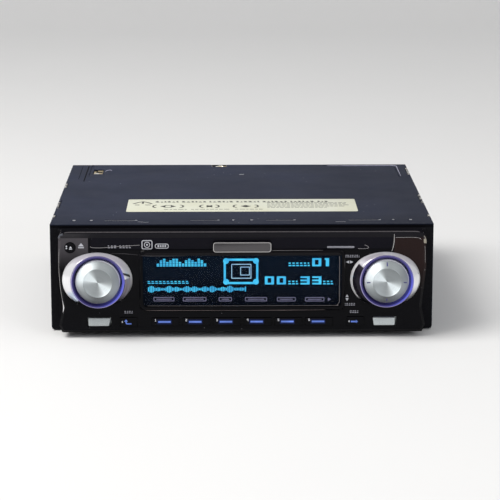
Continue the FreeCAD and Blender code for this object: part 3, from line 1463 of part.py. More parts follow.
def cam_slide():
    """Two side plates with slanted slots, joined at the rear, with a rack for the loading pinion."""
    outer = d.deck_half - d.sheet - d.cam_play
    inner = outer - d.cam_sheet
    start = -d.front_lug_y - d.cam_travel - d.cam_margin
    rear = cam_rear
    load_pitch = d.load_z + d.load_tooth_size * d.load_teeth / 2
    tail = block((inner, outer), (-d.rear_lug_y + d.cam_margin, rear),
                 (load_pitch + d.load_tooth_size, cam_high))
    plate = block((inner, outer), (start, -d.rear_lug_y + d.cam_margin * 2), (cam_low, cam_high))
    bridge = block((-outer, outer), (rear - d.cam_sheet, rear), (bridge_low, cam_high))
    size = d.load_tooth_size.value
    step = math.pi * size
    middle = d.load_y.value - step * round(d.cam_travel.value / 2 / step)
    teeth = rack_points(d.load_rack_teeth.value, size, d.tooth_lead.value, d.tooth_root.value,
                        d.tooth_play.value, middle, False)
    cover = size * 2
    outline = [Vector(0, y, z) for y, z in teeth]
    outline = [Vector(0, teeth[0][0], cover)] + outline + [Vector(0, teeth[-1][0], cover)]
    face = Part.Face(Part.makePolygon(outline + outline[:1]))
    rack = shaped("loading_rack", face.extrude(Vector(d.cam_sheet.value, 0, 0)), x=inner, z=load_pitch)
    slots = []
    slant = math.atan2(d.holder_drop.value, d.cam_travel.value)
    radius = d.lug_half.value * (math.cos(slant) + math.sin(slant)) + d.lug_play.value
    high = holder_z().value
    for lug_y in (-d.front_lug_y.value, -d.rear_lug_y.value):
        end = (lug_y - d.cam_travel.value, high - d.holder_drop.value)
        shape = slanted_slot(radius, (lug_y, high), end, (inner.value, outer.value))
        slots.append(shaped("cam_slot", shape))
    side = cut(fuse(plate, tail), *slots)
    return node(fuse(side, mirrored(side), bridge, rack), "cam_slide")


def load_axis():
    return d.load_y, d.load_z


def load_motor_end():
    return d.deck_half - d.sheet - d.cam_play * 2 - d.cam_sheet * 2


def load_pinion():
    y, z = load_axis()
    width = (d.cam_sheet + d.cam_play) * d.load_wheel_spare
    face = gear_face(d.load_teeth.value, d.load_tooth_size.value, d.tooth_lead.value, d.tooth_root.value,
                     d.tooth_play.value, d.load_shaft.value, math.pi / 2)
    outer = d.deck_half - d.sheet - d.cam_play
    start = outer - d.cam_sheet - d.cam_play
    wheel = shaped("load_wheel", face.extrude(Vector(width.value, 0, 0)), x=start, y=y, z=z)
    shaft = rod("x", d.load_shaft, (load_motor_end() + d.shaft_play, start + width), (y, z))
    return node(fuse(wheel, shaft), "load_pinion")


def load_motor():
    y, z = load_axis()
    end = load_motor_end()
    can = block((end - d.load_long, end), (y - d.load_can, y + d.load_can), (deck_top, z + d.load_can))
    return node(can, "load_motor")


def flat_rail(play):
    """The square second rail, or the room that it needs in the sled."""
    half = d.rail_radius + play
    return block((d.rail_x - half, d.rail_x + half), (-d.rail_front, rail_rear),
                 (d.rail_z - half, d.rail_z + half))


def sled_rails():
    """A round rail on the left, beside the lead screw, and a square one on the right."""
    rail = rod("y", d.rail_radius, (-d.rail_front, rail_rear), (-d.rail_x, d.rail_z))
    return node(group(rail, flat_rail(ZERO)), "sled_rails")


def pickup_sled():
    """Sled on two rails, with the lens holder at its front end and a forked arm on the lead screw."""
    y = (-d.sled_front, -d.sled_front + d.sled_long)
    base = block((-d.sled_half, d.sled_half), y, (d.sled_low, d.sled_high))
    arm_y = (y[1] - d.ear_long / 2, y[1])
    arm_top = d.screw_z + d.screw_radius * 1.6
    arm = block((-d.screw_x - d.screw_radius * 2, -d.sled_half), arm_y, (d.sled_low, arm_top))
    eye = d.lens_eye
    lens = block((-eye, eye), (y[0] + eye, y[0] + eye * 3), (d.sled_high, d.sled_high + d.lens_eye_high))
    bore = rod("y", d.rail_radius + d.shaft_play, y, (-d.rail_x, d.rail_z))
    room = d.screw_radius + d.shaft_play
    nut = block((-d.screw_x - room, -d.screw_x + room), arm_y, (d.screw_z - room, arm_top))
    return node(cut(fuse(base, arm, lens), bore, flat_rail(d.shaft_play * 2), nut), "pickup_sled")


def lead_screw():
    span = (-d.rail_front - d.rail_seat, rail_rear - d.shaft_play)
    return node(rod("y", d.screw_radius, span, (-d.screw_x, d.screw_z)), "lead_screw")


def sled_motor():
    start = rail_rear
    half = d.screw_can
    can = block((-d.screw_x - half, -d.screw_x + half), (start, start + d.screw_can_long),
                (deck_top, d.screw_z + half))
    return node(can, "sled_motor")


# Electronics and rear


def main_board():
    plate = block((-pcb_half, pcb_half), (-d.pcb_front, rear_y - d.pcb_rear), (d.pcb_low, pcb_top))
    return node(plate, "main_board")


def rear_window(x, z, play):
    return block((x[0] - play, x[1] + play), (rear_y - d.sheet, rear_y), (z[0] - play, z[1] + play))


def line_limits():
    half = d.line_block_wide / 2
    return ((-line_x - half, -line_x + half), (pcb_top, pcb_top + d.line_block_tall))


def power_limits():
    half = d.power_wide / 2
    return ((-power_x - half, -power_x + half), (pcb_top, pcb_top + d.power_tall))


def fuse_limits():
    half = d.fuse_wide / 2
    return ((fuse_x - half, fuse_x + half), (pcb_top + d.power_wall, pcb_top + d.power_wall + d.fuse_tall))


def chip_limits():
    middle = (sink_low_x + sink_high_x) / 2
    half = d.chip_wide / 2
    return ((middle - half, middle + half), (pcb_top, pcb_top + d.chip_tall))


def rear_plate():
    """Rear wall with a window for each socket and a support nut."""
    y = (rear_y - d.sheet, rear_y)
    plate = block((-inner_half, inner_half), y, (d.sheet, cover_z))
    nut = hexagon("y", d.stud_outer, (rear_y - d.sheet - d.stud_long, rear_y), (ZERO, stud_z))
    tools = [rod("y", d.stud_bore, (rear_y - d.sheet - d.stud_long, rear_y), (ZERO, stud_z))]
    for limits in (line_limits(), power_limits(), fuse_limits(), chip_limits()):
        tools.append(rear_window(*limits, d.fit_play))
    tools.append(rod("y", d.aerial_outer + d.fit_play, y, (-aerial_x, d.aerial_z)))
    bend = d.case_bend - d.sheet
    corner = block((inner_half - bend, inner_half), y, (d.sheet, d.case_bend))
    tools += [corner, mirrored(corner)]
    return node(cut(fuse(plate, nut), *tools), "rear_plate")


def rear_screws():
    """(x, z) of the screws at the heat sink's corners and above the sockets."""
    inset = d.sink_margin / 2
    low, high = d.sink_low + d.sink_margin, sink_high - d.sink_margin
    corners = [(x, z) for x in (sink_low_x + inset, sink_high_x - inset) for z in (low, high)]
    return corners + [(-line_x, stud_z), (-aerial_x, stud_z)]


def heat_sink():
    """Finned block: a base flat on the rear plate and a row of fins."""
    body = new_body("heat_sink")
    base = front_sketch(body, -rear_y)
    rectangle(base, (sink_low_x, sink_high_x), (d.sink_low, sink_high))
    pad(body, base, d.sink_base, backwards=True)
    fin = front_sketch(body, -rear_y - d.sink_base)
    start = sink_low_x + d.sink_margin
    rectangle(fin, (start, start + d.sink_fin), (d.sink_low, sink_high))
    first = pad(body, fin, d.sink_reach, backwards=True)
    row = body.newObject("PartDesign::LinearPattern", "fin_row")
    row.Originals = [first]
    row.Direction = (fin, ["H_Axis"])
    bind(row, "Length", sink_high_x - d.sink_margin - d.sink_fin - start)
    bind(row, "Occurrences", d.sink_fins)
    body.Tip = row
    return node(body, "heat_sink")


def amp_chip():
    x, z = chip_limits()
    return node(block(x, (rear_y - d.chip_deep, rear_y), z), "amp_chip")


def power_choke():
    """Iron core with the winding between its cheeks."""
    half, cheek = d.choke_side / 2, d.choke_side / 5
    x, y = (d.choke_x - half, d.choke_x + half), (d.choke_y - half, d.choke_y + half)
    parts = [block(x, y, (pcb_top, pcb_top + cheek)),
             block(x, y, (pcb_top + d.choke_tall - cheek, pcb_top + d.choke_tall)),
             block((x[0] + d.sheet, x[1] - d.sheet), (y[0] + cheek, y[1] - cheek),
                   (pcb_top, pcb_top + d.choke_tall))]
    return node(fuse(*parts), "power_choke")


def tuner_module():
    """Screened box with a raised rim along its lid."""
    half_x, half_y = d.tuner_wide / 2, d.tuner_deep / 2
    x, y = (-tuner_x - half_x, -tuner_x + half_x), (d.tuner_y - half_y, d.tuner_y + half_y)
    top = pcb_top + d.tuner_tall
    box = block(x, y, (pcb_top, top))
    edge = d.sheet
    dip = block((x[0] + edge, x[1] - edge), (y[0] + edge, y[1] - edge), (top - edge / 2, top))
    return node(cut(box, dip), "tuner_module")


def aerial_socket():
    at = (-aerial_x, d.aerial_z)
    end = rear_y + d.aerial_proud
    start = d.tuner_y + d.tuner_deep / 2
    outer = rod("y", d.aerial_outer, (start, end), at)
    bore = rod("y", d.aerial_bore, (end - d.aerial_deep, end), at)
    return node(cut(outer, bore), "aerial_socket")


def line_sockets():
    """Block with two phono barrels."""
    x, z = line_limits()
    base = block(x, (rear_y - d.line_block_deep, rear_y + d.sheet), z)
    span = (rear_y, rear_y + d.sheet + d.line_long)
    parts, holes = [base], []
    for side in (-1, 1):
        at = (-line_x + d.line_step * side / 2, (z[0] + z[1]) / 2)
        parts.append(rod("y", d.line_radius, span, at))
        holes.append(rod("y", d.line_bore, span, at))
    return node(cut(fuse(*parts), *holes), "line_sockets")


def power_socket():
    """Socket shell with two rows of contacts."""
    x, z = power_limits()
    wall = d.power_wall
    y = (rear_y - d.power_deep, rear_y + d.sheet)
    shell = block(x, y, z)
    room = block((x[0] + wall, x[1] - wall), (y[0] + d.power_floor, y[1]), (z[0] + wall, z[1] - wall))
    half = d.power_pin_side / 2
    pins = []
    count = int(d.power_pins.value)
    for index in range(count):
        pin_x = x[0] + (x[1] - x[0]) * (index + 1) / (count + 1)
        for level in (z[0] + d.power_tall / 3, z[1] - d.power_tall / 3):
            pins.append(block((pin_x - half, pin_x + half),
                              (y[0] + d.power_floor / 2, y[0] + d.power_floor + d.power_pin_long),
                              (level - half, level + half)))
    return node(fuse(cut(shell, room), *pins), "power_socket")


def blade_fuse():
    """Blade fuse in its holder on the board."""
    x, z = fuse_limits()
    end = rear_y + d.fuse_proud
    body = block(x, (end - d.fuse_deep, end), z)
    grip = block(x, (end - d.sheet, end), (z[0] + d.fuse_tall / 3, z[1] - d.fuse_tall / 3))
    holder = block(x, (end - d.fuse_deep * 2, end - d.fuse_deep), (pcb_top, z[1]))
    dent = block((x[0], x[0] + d.sheet), (end - d.fuse_deep / 2, end - d.sheet),
                 (z[0] + d.sheet, z[1] - d.sheet))
    return node(fuse(cut(body, grip, dent), holder), "blade_fuse")


def screws():
    """Heads of the screws of the rear plate and of the disc mechanism."""
    items = []
    for x, z in rear_screws():
        seat = rear_y + d.sink_base if x.value > 0 else rear_y
        items.append(hexagon("y", d.screw_head, (seat, seat + d.screw_head_high), (x, z)))
    for span in ear_spans():
        at = (damper_x(), (span[0] + span[1]) / 2)
        head = hexagon("z", d.screw_head, (deck_top, deck_top + d.screw_head_high), at)
        items += [head, mirrored(head)]
    return node(group(*items), "screws")


def build_model():
    chassis_case()
    top_cover()
    ground_springs()
    nose_frame()
    rear_plate()
    heat_sink()
    main_board()
    amp_chip()
    power_choke()
    tuner_module()
    aerial_socket()
    line_sockets()
    power_socket()
    blade_fuse()
    screws()
    deck_frame()
    deck_brackets()
    deck_dampers()
    spindle_motor()
    turntable()
    cartridge_holder()
    cam_slide()
    load_pinion()
    load_motor()
    sled_rails()
    pickup_sled()
    lead_screw()
    sled_motor()
    arm_guides()
    panel_motor()
    motor_pinion()
    drive_shaft()
    panel_arms()
    panel_back()
    panel_shell()
    display_lens()
    display_module()
    panel_board()
    key_switches()
    for index, place_of_key in enumerate(key_places()):
        make = soft_key if index < 6 else push_node if index < 8 else silver_key
        make(*place_of_key)
    open_key()
    knob_trim()
    knob_cap("volume_knob", -knob_x)
    knob_cap("cross_knob", knob_x)
    volume_encoder()
    volume_shaft()
    cross_base()
    cross_gimbal()
    cross_stem()


def check_and_write():
    """Stops on a failed object, then writes each piece to its own file."""
    for item in doc.Objects:
        if "Invalid" in item.State or "Error" in item.State:
            raise RuntimeError("%s (%s) failed" % (item.Name, item.Label))
    os.makedirs("parts", exist_ok=True)
    for item in NODES:
        shape = item.Shape
        if shape.isNull() or not shape.isValid() or not shape.Solids:
            raise RuntimeError("%s has no valid solid" % item.Label)
        shape.exportStep("parts/%s.step" % item.Label)


build_model()
doc.recompute()
check_and_write()
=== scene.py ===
"""Car stereo head unit with a motorised front panel: its looks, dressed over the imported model."""

import math
from operator import attrgetter

import bmesh
import bpy
from mathutils import Matrix, Vector


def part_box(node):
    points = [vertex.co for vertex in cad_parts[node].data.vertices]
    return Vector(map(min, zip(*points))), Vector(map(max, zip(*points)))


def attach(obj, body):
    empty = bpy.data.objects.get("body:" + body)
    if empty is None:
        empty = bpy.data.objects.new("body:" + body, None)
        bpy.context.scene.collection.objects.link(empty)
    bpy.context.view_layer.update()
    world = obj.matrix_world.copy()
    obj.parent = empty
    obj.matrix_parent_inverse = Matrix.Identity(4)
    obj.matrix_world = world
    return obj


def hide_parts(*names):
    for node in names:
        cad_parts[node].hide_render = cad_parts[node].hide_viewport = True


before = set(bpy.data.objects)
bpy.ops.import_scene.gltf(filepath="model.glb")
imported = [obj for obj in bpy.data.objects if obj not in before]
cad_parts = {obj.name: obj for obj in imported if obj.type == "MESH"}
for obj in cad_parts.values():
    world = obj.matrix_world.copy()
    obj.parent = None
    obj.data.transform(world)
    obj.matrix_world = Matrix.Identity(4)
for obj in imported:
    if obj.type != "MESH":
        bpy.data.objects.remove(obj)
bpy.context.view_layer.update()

bl_info = {
    "name": "Car stereo head unit",
    "version": (1, 0, 0),
    "blender": (4, 5, 0),
    "location": "View3D > Sidebar > Head unit",
    "description": "Dresses the packed head unit with its finishes, trim, display and stage",
    "category": "Object",
}

MM = 0.001
SOFT_KEYS = ["soft_key_%d" % number for number in range(1, 7)]

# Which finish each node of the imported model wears.
WEARS = {
    "cover_paint": ("top_cover",),
    "case_paint": ("chassis_case",),
    "bare_steel": (
        "rear_plate", "tuner_module", "aerial_socket", "screws", "deck_frame", "deck_brackets",
        "cartridge_holder", "cam_slide", "sled_rails", "lead_screw", "drive_shaft",
        "panel_arms", "volume_encoder", "volume_shaft"),
    "spring_brass": ("ground_springs", "motor_pinion"),
    "black_moulding": ("nose_frame", "panel_back"),
    "gloss_black": ("panel_shell",),
    "key_black": (*SOFT_KEYS, "back_key", "next_key", "open_key"),
    "display_cell": ("display_module",),
    "board_green": ("main_board", "panel_board"),
    "chip_black": ("amp_chip", "key_switches"),
    "iron_core": ("power_choke",),
    "sink_alloy": ("heat_sink",),
    "socket_plastic": ("line_sockets", "power_socket", "cross_base"),
    "fuse_plastic": ("blade_fuse",),
    "damper_rubber": ("deck_dampers",),
    "gear_plastic": ("turntable", "load_pinion", "cross_gimbal", "cross_stem"),
    "guide_plastic": ("pickup_sled", "arm_guides"),
    "motor_steel": ("spindle_motor", "load_motor", "sled_motor", "panel_motor"),
}


def span(node):
    """Lowest and highest corner of a node, in millimetres."""
    low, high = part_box(node)
    return low / MM, high / MM


def middle(node):
    low, high = span(node)
    return (low + high) / 2


# ---------------------------------------------------------------- sizes and colours

def length(label, about, default):
    return bpy.props.FloatProperty(
        name=label, description=about, default=default, min=0.0, unit="LENGTH", precision=5)


def colour(label, about, default):
    return bpy.props.FloatVectorProperty(
        name=label, description=about, default=default, min=0.0, max=1.0, size=3, subtype="COLOR")


def amount(label, about, default, top=10.0):
    return bpy.props.FloatProperty(
        name=label, description=about, default=default, min=0.0, max=top)


class CaseSettings(bpy.types.PropertyGroup):
    paint: colour("Paint", "Satin paint of the cover and the chassis", (0.0192, 0.0238, 0.0438))
    paper: colour("Label paper", "Paper of the label on the cover", (0.69, 0.705, 0.60))
    label_wide: length("Label width", "Label on the cover, side to side", 0.1108)
    label_deep: length("Label depth", "Label on the cover, front to back", 0.0305)
    label_y: length("Label place", "Middle of the label, before the chassis centre", 0.0338)
    dimple: length("Dimple radius", "Pressed dimples along the cover's front", 0.0011)


class PanelSettings(bpy.types.PropertyGroup):
    gloss: colour("Gloss black", "Polished moulding of the moving panel", (0.0020, 0.0020, 0.0030))
    # The two block colours are painted reflections on the panel's corner blocks: grey on the left,
    # warm brown on the right.
    block_left: colour("Left block", "Tint of the left corner block", (0.066, 0.061, 0.068))
    block_right: colour("Right block", "Tint of the right corner block", (0.019, 0.0105, 0.0100))
    # The lines along the panel's side edges, in this silver and of this radius, are painted
    # highlights.
    silver: colour("Silver trim", "Thin trim lines of the panel", (0.40, 0.39, 0.39))
    line: length("Trim line", "Radius of the side trim lines", 0.00018)
    badge_rim: length("Badge rim", "Width of the rim round the bare badge plate", 0.00030)


class KnobSettings(bpy.types.PropertyGroup):
    metal: colour("Cap metal", "Turned aluminium of the knob caps", (0.60, 0.65, 0.72))
    chrome: colour("Bezel chrome", "Plating of the oval bezels", (0.86, 0.86, 0.88))
    glow: colour("Ring light", "Light of the two rings", (0.022, 0.018, 0.090))
    glow_level: amount("Ring level", "Brightness of the two rings", 1.0)
    disc: length("Disc radius", "Dished inner disc of a knob cap", 0.0066)
    land_drop: length("Land drop", "Outer edge of a cap's sloping land behind its crest", 0.0031)
    rim_wide: length("Rim width", "Polished rim of a knob cap", 0.0004)


class KeySettings(bpy.types.PropertyGroup):
    light: colour("Key light", "Light bars of the keys", (0.10, 0.17, 0.52))
    light_level: amount("Key light level", "Brightness of the light bars", 1.3)
    silver: colour("Silver keys", "Lacquer of the two silver keys", (0.49, 0.53, 0.54))
    bar_wide: length("Light bar width", "Light bar of a soft key, side to side", 0.0060)
    bar_tall: length("Light bar height", "Light bar of a soft key", 0.00115)


class DisplaySettings(bpy.types.PropertyGroup):
    lit: colour("Lit segments", "Bright segments of the display", (0.06, 0.52, 0.98))
    dim: colour("Dim segments", "Segments over the soft keys", (0.30, 0.29, 0.46))
    ground: colour("Ground", "Unlit ground of the display", (0.002, 0.004, 0.009))
    level: amount("Level", "Brightness of the lit segments", 1.75)


class StageSettings(bpy.types.PropertyGroup):
    floor: colour("Floor", "Floor and backdrop", (0.80, 0.80, 0.80))
    lens: bpy.props.FloatProperty(
        name="Lens", description="Focal length of the camera", default=151.83, min=1.0,
        unit="CAMERA")
    key_light: amount("Key light", "Power of the large lamp over the object, in watts", 17.0, 500.0)
    fill_light: amount("Fill light", "Power of the lamp before the object, in watts", 4.0, 500.0)
    sky: amount("Surround", "Strength of the even light from all sides", 0.55)


class HeadUnitSettings(bpy.types.PropertyGroup):
    case: bpy.props.PointerProperty(type=CaseSettings)
    panel: bpy.props.PointerProperty(type=PanelSettings)
    knobs: bpy.props.PointerProperty(type=KnobSettings)
    keys: bpy.props.PointerProperty(type=KeySettings)
    display: bpy.props.PointerProperty(type=DisplaySettings)
    stage: bpy.props.PointerProperty(type=StageSettings)


# ---------------------------------------------------------------- shader trees

def overloaded(operation, swapped=False):
    """An operator of Term that adds one Math node."""
    def apply(self, *other):
        values = (*other, self) if swapped else (self, *other)
        return self.tree.math(operation, *values)
    return apply


class Term:
    """A socket that takes part in arithmetic; each operator adds a Math node."""

    def __init__(self, tree, socket):
        self.tree, self.socket = tree, socket

    __add__ = __radd__ = overloaded("ADD")
    __mul__ = __rmul__ = overloaded("MULTIPLY")
    __sub__, __rsub__ = overloaded("SUBTRACT"), overloaded("SUBTRACT", swapped=True)
    __pow__, __abs__ = overloaded("POWER"), overloaded("ABSOLUTE")
    __gt__, __lt__ = overloaded("GREATER_THAN"), overloaded("LESS_THAN")

    def ramp(self, low, high, start=0.0, end=1.0):
        """Runs smoothly from start to end as the value goes from low to high."""
        return self.tree.node(
            "ShaderNodeMapRange", {"interpolation_type": "SMOOTHSTEP"},
            {"Value": self, "From Min": low, "From Max": high, "To Min": start, "To Max": end})


class Tree:
    """The nodes of one material or world."""

    def __init__(self, owner):
        owner.use_nodes = True
        self.owner, self.nodes, self.links = owner, owner.node_tree.nodes, owner.node_tree.links
        self.nodes.clear()

    def node(self, kind, settings=None, values=None, output=0):
        """Adds a node: its settings first, then the values or links of its sockets."""
        item = self.nodes.new(kind)
        for name, value in (settings or {}).items():
            setattr(item, name, value)
        for key, value in (values or {}).items():
            socket = item.inputs[key]
            if isinstance(value, Term):
                self.links.new(value.socket, socket)
            else:
                socket.default_value = (*value, 1.0) if socket.type == "RGBA" else value
        return Term(self, item.outputs[output]) if item.outputs else None

    def math(self, operation, *values):
        return self.node("ShaderNodeMath", {"operation": operation}, dict(enumerate(values)))

    def place(self):
        """The point of the surface, in metres of the model's frame."""
        return self.node("ShaderNodeTexCoord", output=3)

    def axes(self, vector=None):
        """The three numbers of a vector, or of the point of the surface."""
        first = self.node("ShaderNodeSeparateXYZ", values={0: vector or self.place()})
        return (first, *(Term(self, output) for output in first.socket.node.outputs[1:]))

    def around(self, centre):
        """Radius and angle of the surface point about an axis that runs front to back."""
        x, y, z = self.axes()
        dx, dz = x - centre.x * MM, z - centre.z * MM
        return (dx * dx + dz * dz) ** 0.5, self.math("ARCTAN2", dz, dx)

    def lobe(self, angle, direction, sharpness):
        """One towards a direction in degrees, falling to nothing on the other side."""
        facing = self.math("COSINE", angle - math.radians(direction))
        return self.math("MAXIMUM", facing, 0.0) ** sharpness

    def sector(self, angle, direction, half, soft):
        """One within half degrees of a direction, nothing beyond a soft edge."""
        facing = self.math("COSINE", angle - direction * math.radians(1.0))
        return facing.ramp(math.cos(math.radians(half + soft)), math.cos(math.radians(half)))

    def stretched(self, x, y, z):
        """The surface point with each axis scaled on its own."""
        return self.node("ShaderNodeVectorMath", {"operation": "MULTIPLY"},
                         {0: self.place(), 1: (x, y, z)})

    def vector(self, x, y):
        """A vector without depth."""
        return self.node("ShaderNodeCombineXYZ", values={0: x, 1: y, 2: 0.0})

    def noise(self, scale, detail=2.0, vector=None):
        return self.node("ShaderNodeTexNoise", values={
            "Vector": vector or self.place(), "Scale": scale, "Detail": detail})

    def cells(self, scale):
        return self.node("ShaderNodeTexVoronoi", values={"Vector": self.place(), "Scale": scale})

    def specks(self, scale, radius):
        """Sparse small specks: one in the middle of some of the cells."""
        near = self.cells(scale)
        return (near < radius) * (self.noise(scale / 6, 0.0) > 0.56)

    def mix(self, factor, first, second):
        """A colour between two others."""
        return self.node("ShaderNodeMix", {"data_type": "RGBA"},
                         {0: factor, 6: first, 7: second}, output=2)

    def mottled(self, shade, pattern, dark, light=1.0, low=0.3, high=0.7):
        """A shade between two of its tones, as a pattern goes from low to high."""
        return self.mix(pattern.ramp(low, high), scaled(shade, dark), scaled(shade, light))

    def drawn(self, tone, shade, angle, direction, half, soft, share=None):
        """A tone with a reflection of one shade drawn over a sector."""
        where = self.sector(angle, direction, half, soft)
        return self.mix(where if share is None else where * share, tone, shade)

    def bump(self, height, strength, distance):
        return self.node("ShaderNodeBump", values={
            "Height": height, "Strength": strength, "Distance": distance})

    def principled(self, **sockets):
        return self.node("ShaderNodeBsdfPrincipled", values={
            name.replace("_", " ").title().replace("Ior", "IOR"): value
            for name, value in sockets.items()})

    def ended(self, shader):
        self.node("ShaderNodeOutputMaterial", values={"Surface": shader})
        return self.owner

    def surface(self, **sockets):
        """Ends the tree in one Principled shader."""
        return self.ended(self.principled(**sockets))

    def partly_shaded(self, where, matt, **sockets):
        """Ends the tree in a Principled shader with painted shade in places: there it is dull and
        of one dark colour.
        """
        dull = self.principled(base_color=matt, roughness=0.9, specular_ior_level=0.0)
        return self.ended(self.node(
            "ShaderNodeMixShader", values={0: where, 1: self.principled(**sockets), 2: dull}))


def scaled(shade, factor):
    return tuple(min(1.0, channel * factor) for channel in shade)


def new_tree(name):
    return Tree(bpy.data.materials.new(name))


# Places of the case and the panel that their finishes know, in metres.
COVER_SIDE, COVER_EDGE = 0.0887, 0.0496  # where the cover's paint is rubbed off
BLOCKS = 0.0692, 0.0697, 0.0703, 0.0706  # where the corner blocks begin, right and left
STRIP_FOOT, BROW_FOOT, BROW_TOP = 0.0414, 0.0468, 0.04872


def painted_sheet(name, shade, bare_above=None):
    """Satin paint on sheet metal, with dust, faint clouds and a fine orange peel, and painted
    shade: darker towards the front and towards the right.
    """
    tree = new_tree(name)
    x, y, z = tree.axes()
    grain = tree.noise(2600.0)
    worn = (abs(x) > COVER_SIDE) * (z > COVER_EDGE) * (tree.noise(300.0, 4.0) > 0.60)
    paint = tree.mottled(shade, tree.noise(28.0, 3.0), 0.86, 1.16, 0.35, 0.65)
    paint = tree.mix(grain.ramp(0.3, 0.7) * 0.35, paint, scaled(shade, 1.5))
    # Painted shade: the paint darkens towards the front, and a little towards the right.
    paint = tree.mix(y.ramp(-0.0785, -0.045, 0.5, 0.0), paint, scaled(shade, 0.5))
    paint = tree.mix(x.ramp(0.0, 0.09, 0.0, 0.3), paint, scaled(shade, 0.3))
    paint = tree.mix(tree.specks(190.0, 0.055) * 0.55, paint, (0.42, 0.43, 0.46))
    paint = tree.mix(worn * 0.5, paint, (0.38, 0.38, 0.40))
    rough, metal = 0.46 + 0.12 * tree.noise(60.0), 0.0
    if bare_above is not None:
        bare = (z > bare_above) * (tree.noise(350.0) > 0.5)
        paint = tree.mix(bare, paint, (0.60, 0.58, 0.54))
        rough, metal = rough - bare * 0.18, bare * 0.9
    return tree.surface(
        base_color=paint, roughness=rough, metallic=metal, specular_ior_level=0.04,
        normal=tree.bump(grain, 0.25, 0.00006))


def zinc_steel(name, shade, brushed=(35.0, 1400.0, 1400.0), rough=0.34):
    """Plated sheet: fine rolling lines and soft blotches."""
    tree = new_tree(name)
    lines = tree.noise(1.0, 3.0, tree.stretched(*brushed))
    tone = tree.mottled(shade, tree.noise(55.0, 3.0), 0.84, 1.1, 0.32, 0.68)
    tone = tree.mix(lines.ramp(0.3, 0.7) * 0.3, tone, scaled(shade, 0.7))
    return tree.surface(
        base_color=tone, metallic=1.0, roughness=rough - 0.07 + 0.16 * lines,
        normal=tree.bump(lines, 0.12, 0.00004))


def moulding(name, shade, rough, contrast=0.25, shine=0.25, grain_scale=900.0, depth=0.00003,
             shaded_above=1.0):
    """Moulded plastic with an eroded grain; above a given height, painted shade makes it dull and
    darker.
    """
    tree = new_tree(name)
    grain = tree.noise(grain_scale, 3.0)
    return tree.partly_shaded(
        tree.axes()[2] > shaded_above, scaled(shade, 0.7),
        base_color=tree.mottled(shade, grain, 1 - contrast, 1 + contrast),
        roughness=rough - 0.05 + 0.1 * tree.noise(70.0), specular_ior_level=shine,
        normal=tree.bump(grain, 0.3, depth))


def gloss_moulding(name, shade, left=None, right=None):
    """Polished black moulding: near-mirror, with wipe marks and dust; on the panel, painted
    reflections on its two corner blocks, a painted sheen along its top band and painted shade on
    its top face.
    """
    tree = new_tree(name)
    x, y, z = tree.axes()
    wipe = tree.noise(1.0, 3.0, tree.stretched(45.0, 45.0, 190.0))
    tone = tree.mix(wipe.ramp(0.3, 0.7) * 0.5, shade, scaled(shade, 1.7))
    top_shade = 0.0
    if left is not None:
        top = z > BROW_FOOT
        under = 1 - top
        # Painted reflections: a tint on each corner block, right and left.
        tone = tree.mix(x.ramp(*BLOCKS[:2]) * z.ramp(0.018, 0.036) * under, tone, right)
        tone = tree.mix((0 - x).ramp(*BLOCKS[2:]) * z.ramp(0.031, 0.045) * under, tone, left)
        strip = (z > STRIP_FOOT) * (abs(x) < BLOCKS[1])
        tone = tree.mix(strip, tone, (0.0044, 0.0042, 0.0078))
        # Painted sheen along the top band of the front, lighter towards the left.
        brow_sheen = tree.mix((0 - x).ramp(0.066, 0.078), (0.0095, 0.0090, 0.0115), (0.024, 0.023, 0.026))
        tone = tree.mix(top, tone, brow_sheen)
        # Painted shade: the top face is dull and dark.
        top_shade = z > BROW_TOP
    tone = tree.mix(tree.specks(240.0, 0.05) * 0.3, tone, (0.3, 0.3, 0.32))
    return tree.partly_shaded(
        top_shade, (0.006, 0.006, 0.008),
        base_color=tone, roughness=0.06 + 0.08 * wipe.ramp(0.4, 0.75), specular_ior_level=0.07,
        normal=tree.bump(tree.noise(90.0, 1.0), 0.04, 0.0002))


def plated(name, shade, rough):
    """Bright plating with the slightest orange peel."""
    tree = new_tree(name)
    haze = tree.noise(40.0, 3.0)
    return tree.surface(
        base_color=tree.mottled(shade, haze, 0.93), metallic=1.0,
        roughness=rough + 0.05 * haze.ramp(0.4, 0.7),
        normal=tree.bump(tree.noise(260.0), 0.06, 0.0001))


def turned_metal(name, shade, centre, inner, rim):
    """Aluminium faced on a lathe: fine rings, with painted highlight fans on its disc and land and
    a painted highlight on the upper part of its rim.
    """
    tree = new_tree(name)
    radius, angle = tree.around(centre)
    rings = tree.noise(1.0, 2.0, tree.vector(radius * 5200.0, angle * 0.3))
    broad = tree.noise(1.0, 1.0, tree.vector(radius * 900.0, 0.0))
    # Painted highlight fans: bright lobes by angle round the knob's axis, on the disc and on the
    # land.
    disc, land = 0.24, 0.12
    for share, direction, sharpness in ((0.72, 148.0, 9.0), (0.66, 318.0, 7.0), (0.07, 195.0, 1.0)):
        disc = disc + share * tree.lobe(angle, direction, sharpness)
    for share, direction, sharpness in ((0.22, 170.0, 1.0), (0.62, 150.0, 6.0), (0.18, 55.0, 2.0),
                                        (0.19, 335.0, 5.0)):
        land = land + share * tree.lobe(angle, direction, sharpness)
    light = disc * (radius < inner) + land * (radius > inner)
    light = 1.3 * light * (0.88 + 0.24 * rings) * (0.92 + 0.16 * broad)
    edge = radius > rim
    tone = tree.mix(tree.math("MINIMUM", light, 1.0), scaled(shade, 0.02), scaled(shade, 1.5))
    tone = tree.mix(rings.ramp(0.35, 0.65) * 0.10, tone, scaled(shade, 0.4))
    # Painted highlight on the rim: bright above, dark below.
    rim_highlight = 0.22 + 0.78 * tree.sector(angle, 98.0, 86.0, 50.0)
    tone = tree.mix(edge, tone, tree.mix(rim_highlight, scaled(shade, 0.1), (0.97, 0.97, 1.0)))
    return tree.surface(
        base_color=tone, metallic=0.35, roughness=0.46 - 0.2 * edge, specular_ior_level=0.25,
        normal=tree.bump(rings, 0.16, 0.00003))


